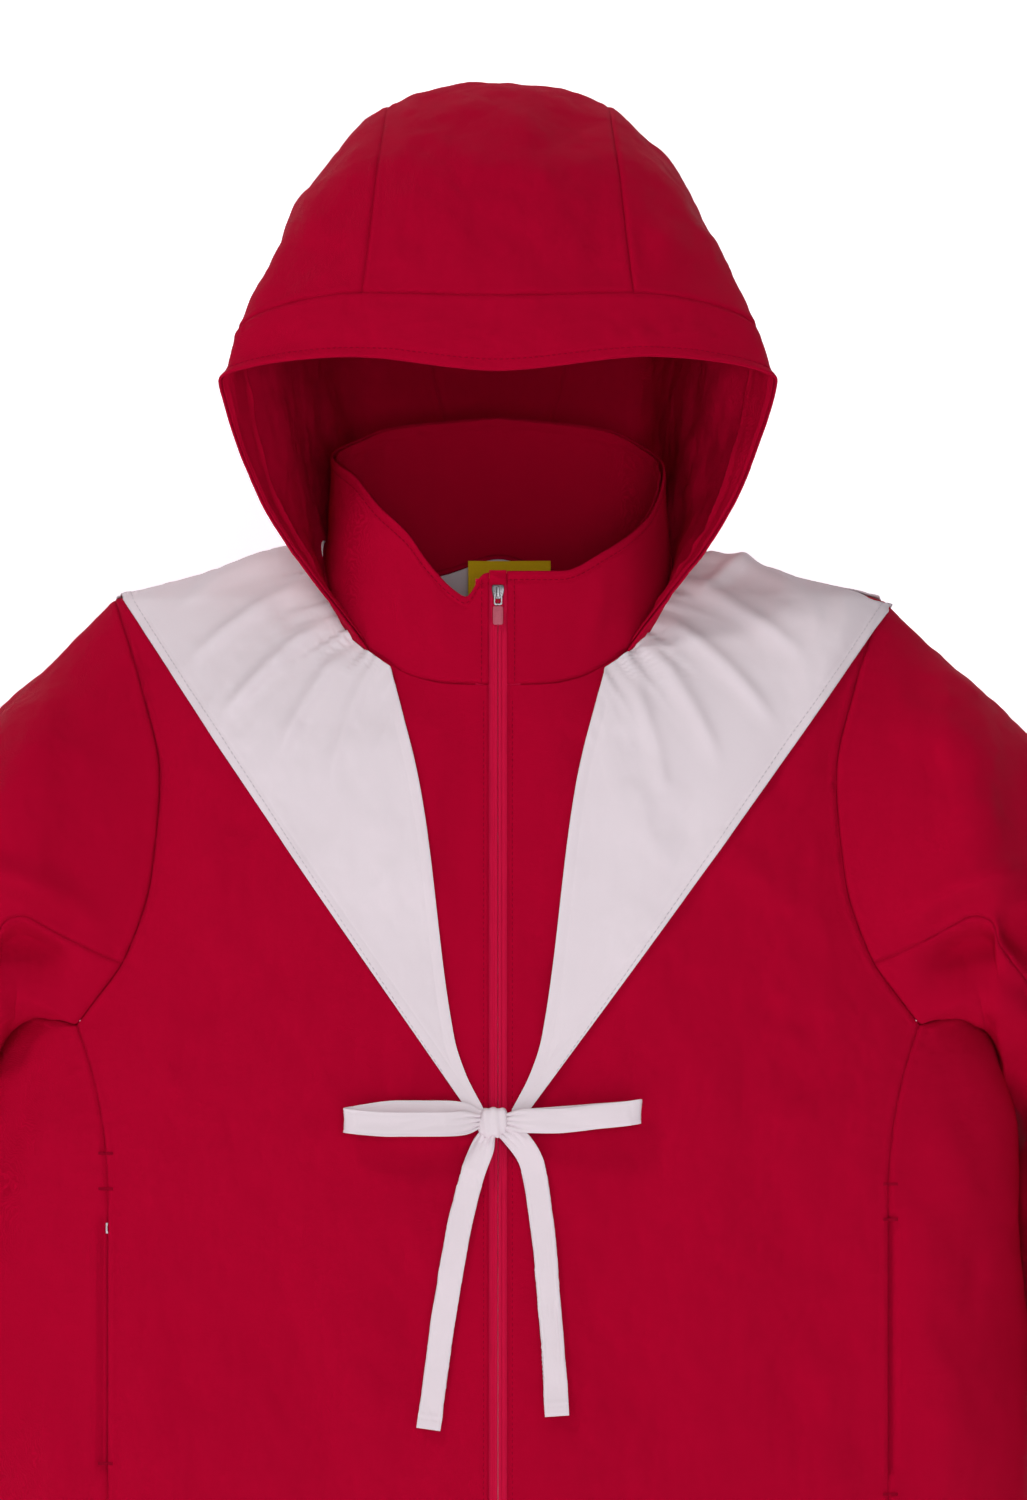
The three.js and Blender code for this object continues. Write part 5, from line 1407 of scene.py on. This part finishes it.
low, high = cad("slider_body")
TOP, BOTTOM = high[2], low[2]
MID = (TOP + BOTTOM) / 2
shield = [(-3.0, TOP), (-3.7, TOP - 1.2), (-3.9, TOP - 3.4), (-3.4, TOP - 6)]
shield = shield + [(-2.9, BOTTOM + 0.8), (-2.3, BOTTOM)]
shield = shield + [(-x, z) for x, z in shield[::-1]]
plate("slider_front_plate", shield, -0.5, 1.2, 0.45, METAL, "slider", ["slider_body"])
plate("slider_back_plate", shield, 4.4, 5.6, 0.35, METAL, "slider")
post = [(-0.25, TOP - 0.4), (-0.25, TOP - 3.6), (0.25, TOP - 3.6), (0.25, TOP - 0.4)]
plate("slider_post", post, 0.6, 4.8, 0.05, METAL, "slider")
bridge = round_box(0, MID, 2.2, 7.0, 0.9)
plate("slider_bridge_top", bridge, -3.1, -1.9, 0.45, METAL, "slider", ["slider_bridge"])
for label, z in (("upper", TOP - 1.7), ("lower", BOTTOM + 1.7)):
    foot = round_box(0, z, 2.0, 1.6, 0.4)
    plate(f"slider_bridge_foot_{label}", foot, -2.4, -0.3, 0.15, METAL, "slider")
low, high = cad("puller_link")
mid, tall = (low[2] + high[2]) / 2, high[2] - low[2]
link, opening = round_box(0, mid, 5.4, tall, 1.4), round_box(0, mid, 3.2, tall - 2.4, 0.9)
plate("puller_link_ring", link, -1.5, -0.8, 0.25, METAL, "puller", ["puller_link"], hole=opening)
low, high = cad("puller_tab")
mid, tall = (low[2] + high[2]) / 2, high[2] - low[2]
tab = round_box(0, mid, 6.4, tall, 1.5)
plate("puller_tab_rubber", tab, -2.1, -0.3, 0.6, RUBBER, "puller", ["puller_tab"])
plate("puller_tab_pad", round_box(0, mid - 0.6, 4.0, tall - 4.5, 0.9), -2.35, -1.9, 0.2, RUBBER, "puller")
for node in ("zip_top_stop_left", "zip_top_stop_right", "zip_insertion_pin", "zip_box"):
    low, high = cad(node)
    cx, cz = (low[0] + high[0]) / 2, (low[2] + high[2]) / 2
    w, h = high[0] - low[0], high[2] - low[2]
    outline = round_box(cx, cz, w, h, min(w, h) * 0.25)
    plate(f"{node}_metal", outline, 2.5, 4.2, 0.25, METAL, "jacket", [node])
g = strip_grid(-5.4, 5.4, -0.2, -10.6, -19.6, 30, 0.3)
x = g[..., 0]
dome = np.sqrt(np.clip(1 - (x / 5.6) ** 2, 0, 1)) * 1.3 + 0.25 * np.sin((g[..., 2] + 10) * 0.9 + x * 0.3)
obj = place("zip_garage_fold", g, np.broadcast_to(FRONT, g.shape), dome, 1.2, RED, ["zip_garage"])
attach(obj, "jacket")


# ---------- linings, facings and pockets ----------
def inside(name, g, n, relief, thickness, depth, material, nodes, held="stretched"):
    """A piece that lies a depth inside the shell; for a very narrow one held is None and declare is skipped.
    """
    obj = place(name, g, n, relief, thickness, material, nodes, base=-depth)
    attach(obj, "jacket")
    if held:
        declare(g)
    return obj


low, high = cad("lining_back")
rows = np.flatnonzero(back_grid[:, 0, 2] > low[2])
g = back_grid[rows[0] : -1, 3:-3]
relief = np.minimum(body_relief(g), 1.0)
inside("lining_back_cloth", g, body_normal(g), relief, 0.8, 4.2, LINING, ["lining_back"])
for tag, mirror in SIDES:
    low, high = cad("front_facing_left")
    z = np.linspace(low[2], high[2], int(260 / FINE))[:, None]
    x = np.linspace(low[0], high[0], int(34 / FINE))[None] + z * 0
    g = for_side(on_body(x, z, True), mirror)
    node, relief = f"front_facing_{tag}", np.minimum(body_relief(g), 0.6)
    inside(f"{node}_cloth", g, body_normal(g), relief, 0.8, 2.7, RED_SHADED_INSIDE, [node])
low, high = cad("hem_facing")
turn = np.radians(np.linspace(3.5, 356.5, int(420 / FINE)))[None]
z = np.linspace(low[2] + 0.5, high[2], int(18 / FINE) + 2)[:, None] + turn * 0
x = half_width(z) * np.sign(np.sin(turn)) * np.abs(np.sin(turn)) ** (2 / ROUNDNESS)
g = np.stack([x, body_y(x, z, np.cos(turn) + z * 0 > 0), z], -1)
relief = np.minimum(body_relief(g), 0.8)
inside("hem_facing_cloth", g, body_normal(g), relief, 0.8, 2.0, RED_SHADED_INSIDE, ["hem_facing"])
POCKET_LOW, POCKET_HIGH, POCKET_MOUTH_X, POCKET_INNER_X = -589.0, -391.0, 241.0, 117
for tag, mirror in SIDES:
    t = np.linspace(0, 1, int(110 / FINE))[:, None]
    u = np.linspace(0, 1, int(120 / FINE), endpoint=False)[None]
    back_wall = u > 0.5
    across = np.where(back_wall, 2 - 2 * u, 2 * u)
    z = mix(POCKET_LOW, POCKET_HIGH, t) + 0 * u
    round_end = np.sqrt(np.clip(1 - (2 * t - 1) ** 8, 0, 1))
    sag = 22 * (1 - t) * np.sin(across * math.pi)
    reach = POCKET_MOUTH_X - POCKET_INNER_X
    x = POCKET_MOUTH_X - reach * (1 - across) * (0.55 + 0.45 * round_end)
    g = for_side(on_body(x, z - sag * 0.4, True), mirror)
    deep = np.where(back_wall, 8.4, 0) * np.sin(np.clip(across, 0, 1) * math.pi) ** 0.4 * round_end
    n = body_normal(g)
    wave = 0.8 * folds(g.reshape(-1, 3), 30, 131, 2).reshape(x.shape) * np.sin(across * math.pi)
    g = g - n * (4.6 + deep - np.minimum(body_relief(g), 0.4))[..., None]
    out = n * np.where(back_wall, -1, 1)[..., None]
    node, relief = f"pocket_bag_{tag}", np.minimum(wave, 0.4)
    obj = place(f"{node}_cloth", g, out, relief, 0.6, LINING, [node], closed=True)
    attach(obj, "jacket")
    declare(g)
# A sliver of pocket lining shows at the top of one pocket mouth.
z = np.linspace(-421.5, -415, 30)[:, None]
x = -np.linspace(241.8, 243.0, 12)[None] + z * 0
g = on_body(x, z, True)
swell = np.sin(np.linspace(0, math.pi, 30))[:, None] * np.linspace(1, 0.2, 12)[None]
relief = body_relief(g) + 1.6 * swell
inside("pocket_lining_edge", g, body_normal(g), relief, 0.5, -0.2, LINING, [], None)

# Bar tacks across the pocket seams, on each side shifted up or down from their CAD places.
for tag, mirror, shift in (("left", 1, -8.0), ("right", -1, 11.0)):
    for label in ("top", "upper", "lower"):
        node = f"bar_tack_{tag}_{label}"
        low, high = cad(node)
        mid = (low[2] + high[2]) / 2 + shift
        z = np.linspace(mid - 0.9, mid + 0.9, 12)[:, None]
        x = mirror * np.linspace(238.5, 247.5, 60)[None] + z * 0
        g = on_body(x, z, True)
        rounded = np.sqrt(np.clip(1 - ((z - mid) / 0.95) ** 2, 0, 1))
        ribs = 0.28 * np.sin(np.abs(x) * 2 * math.pi / 0.75) * rounded
        relief = body_relief(g) + 0.5 + ribs
        obj = place(f"{node}_thread", g, body_normal(g), relief, 1.4, THREAD, [node])
        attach(obj, "jacket")

# The neck label and the hanger loop sit inside the back neck.
low, high = cad("neck_label")
low, high = low + [7, 0, 5.5], high + [7, 0, 5.5]
z = np.linspace(low[2], high[2], 60)[:, None]
x = np.linspace(low[0], high[0], 100)[None] + z * 0
g = on_body(x, z, False)
edge = np.minimum(np.minimum(x - low[0], high[0] - x), np.minimum(z - low[2], high[2] - z))
woven = 0.07 * np.sin(z * 2 * math.pi / 0.8)
woven = woven + 0.25 * np.exp(-(((edge - 2.6) / 0.5) ** 2)) + 0.4 * np.exp(-((edge / 0.8) ** 2))
curl = 0.9 * folds(g.reshape(-1, 3), 26, 141, 1).reshape(x.shape) + 0.5
back = np.broadcast_to((0.0, 1.0, 0.0), g.shape)
inside("neck_label_woven", g, back, -woven - curl, 0.6, 8.6, YELLOW, ["neck_label"])
low, high = cad("hanger_loop")
low, high = low + [11, 0, 0], high + [3, 0, 0]
z = np.linspace(low[2], high[2], 16)[:, None]
x = np.linspace(low[0], high[0], 90)[None] + z * 0
g = on_body(x, z, False)
back = np.broadcast_to((0.0, 1.0, 0.0), g.shape)
lift = 2.2 * np.sin(np.linspace(0, math.pi, 90))[None]
relief = -lift - 0.1 * np.sin(z * 5)
inside("hanger_loop_tape", g, back, relief, 0.9, 7.0, RED_SHADED_INSIDE, ["hanger_loop"], None)


# ---------- topstitching ----------
HEM_ROW = int(25 / 3.0)  # the grid row that the hem's stitches follow


def stitch_shell(group, line):
    n = body_normal(line)
    stitch(group, line + n * body_relief(line[None])[0][:, None], n, 0.1)


for tag, mirror in SIDES:
    z = np.linspace(-655, -90, 500)
    stitch_shell("front", on_body(z * 0 + (ZIP_OPENING + 3.2) * mirror, z, True))
    stitch_shell("hem", for_side(front_grid, mirror)[HEM_ROW, 4:])
stitch_shell("hem", back_grid[HEM_ROW])
k = int(np.argmin(np.abs(all_shares * HOOD_RUN - BRIM_STITCH)))
line = hood[k, 4:-4] + normals[k, 4:-4] * hood_relief[k, 4:-4, None]
stitch("hood", line, normals[k, 4:-4], 0.1)
for group, store in stitches.items():
    points, faces = np.concatenate(store["points"]), np.concatenate(store["faces"])
    obj = mesh_from(f"stitches_{group}", points, faces, store["material"])
    if group == "hood":
        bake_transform(obj)
    else:
        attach(obj, "jacket")


# ---------- setting ----------
def paper(name, color, dark):
    material = hard(name, color, dark, 0.9, 0.0, 40, 0.05)
    shader = material.node_tree.nodes["Principled BSDF"]
    shader.inputs["Specular IOR Level"].default_value = 0.1
    shader.inputs["Emission Color"].default_value = (0.95, 0.93, 1.0, 1)
    shader.inputs["Emission Strength"].default_value = 0.55
    return material


PAPER = paper("backdrop_paper", srgb(250, 249, 250), srgb(246, 245, 247))


def slab(name, x0, x1, y0, y1, z0, z1):
    points = [(x, y, z) for x in (x0, x1) for y in (y0, y1) for z in (z0, z1)]
    faces = [[0, 1, 3, 2], [4, 6, 7, 5], [0, 4, 5, 1], [2, 3, 7, 6], [0, 2, 6, 4], [1, 5, 7, 3]]
    mesh_from(name, points, faces, PAPER, False)


slab("studio_floor", -2600, 2600, -2600, 2600, HEM_Z - 190, HEM_Z - 170)
# The backdrop is a single sheet behind the jacket that is clear from behind.
SCREEN = paper("backdrop_screen", srgb(250, 249, 250), srgb(246, 245, 247))
tree = SCREEN.node_tree
clear, blend = tree.nodes.new("ShaderNodeBsdfTransparent"), tree.nodes.new("ShaderNodeMixShader")
tree.links.new(tree.nodes.new("ShaderNodeNewGeometry").outputs["Backfacing"], blend.inputs[0])
tree.links.new(tree.nodes["Principled BSDF"].outputs[0], blend.inputs[1])
tree.links.new(clear.outputs[0], blend.inputs[2])
tree.links.new(blend.outputs[0], tree.nodes["Material Output"].inputs["Surface"])
corners = [(-1000, 400, -1200), (1000, 400, -1200), (1000, 400, 1000), (-1000, 400, 1000)]
mesh_from("studio_backdrop", corners, [[0, 1, 2, 3]], SCREEN, False)


def area_light(name, where, target, size, power):
    light = bpy.data.lights.new(name, "AREA")
    light.shape, light.size, light.energy = "SQUARE", size, power
    obj = bpy.data.objects.new(name, light)
    obj.location = where
    obj.rotation_euler = (Vector(target) - Vector(where)).to_track_quat("-Z", "Y").to_euler()
    SCENE.collection.objects.link(obj)


area_light("key_light", (-1.5, -1.7, 2.2), (0, 0, -0.15), 0.6, 30)
area_light("fill_light", (0.35, -3.2, -0.05), (0, 0, -0.05), 1.4, 35)
area_light("top_light", (0.2, -0.6, 2.4), (0, 0, -0.1), 1.2, 7)
world = bpy.data.worlds.new("studio")
world.use_nodes = True
sky = world.node_tree.nodes["Background"]
sky.inputs["Color"].default_value = (0.97, 0.97, 1.0, 1)
path = world.node_tree.nodes.new("ShaderNodeLightPath")
seen = maths(world.node_tree, "MULTIPLY", path.outputs["Is Camera Ray"], 0.95)
world.node_tree.links.new(maths(world.node_tree, "ADD", seen, 0.16), sky.inputs["Strength"])
SCENE.world = world
SENSOR, LENS, SEEN_HEIGHT = 36, 310, 0.93  # mm, mm and the metres seen at the front of the jacket
camera = bpy.data.cameras.new("camera")
camera.sensor_fit, camera.sensor_height, camera.lens = "VERTICAL", SENSOR, LENS
holder = bpy.data.objects.new("camera", camera)
holder.location = (0.0096, -0.07 - SEEN_HEIGHT * LENS / SENSOR, -0.122)
holder.rotation_euler = (math.pi / 2, 0, 0)
SCENE.collection.objects.link(holder)
SCENE.camera = holder
SCENE.view_settings.view_transform = "Standard"
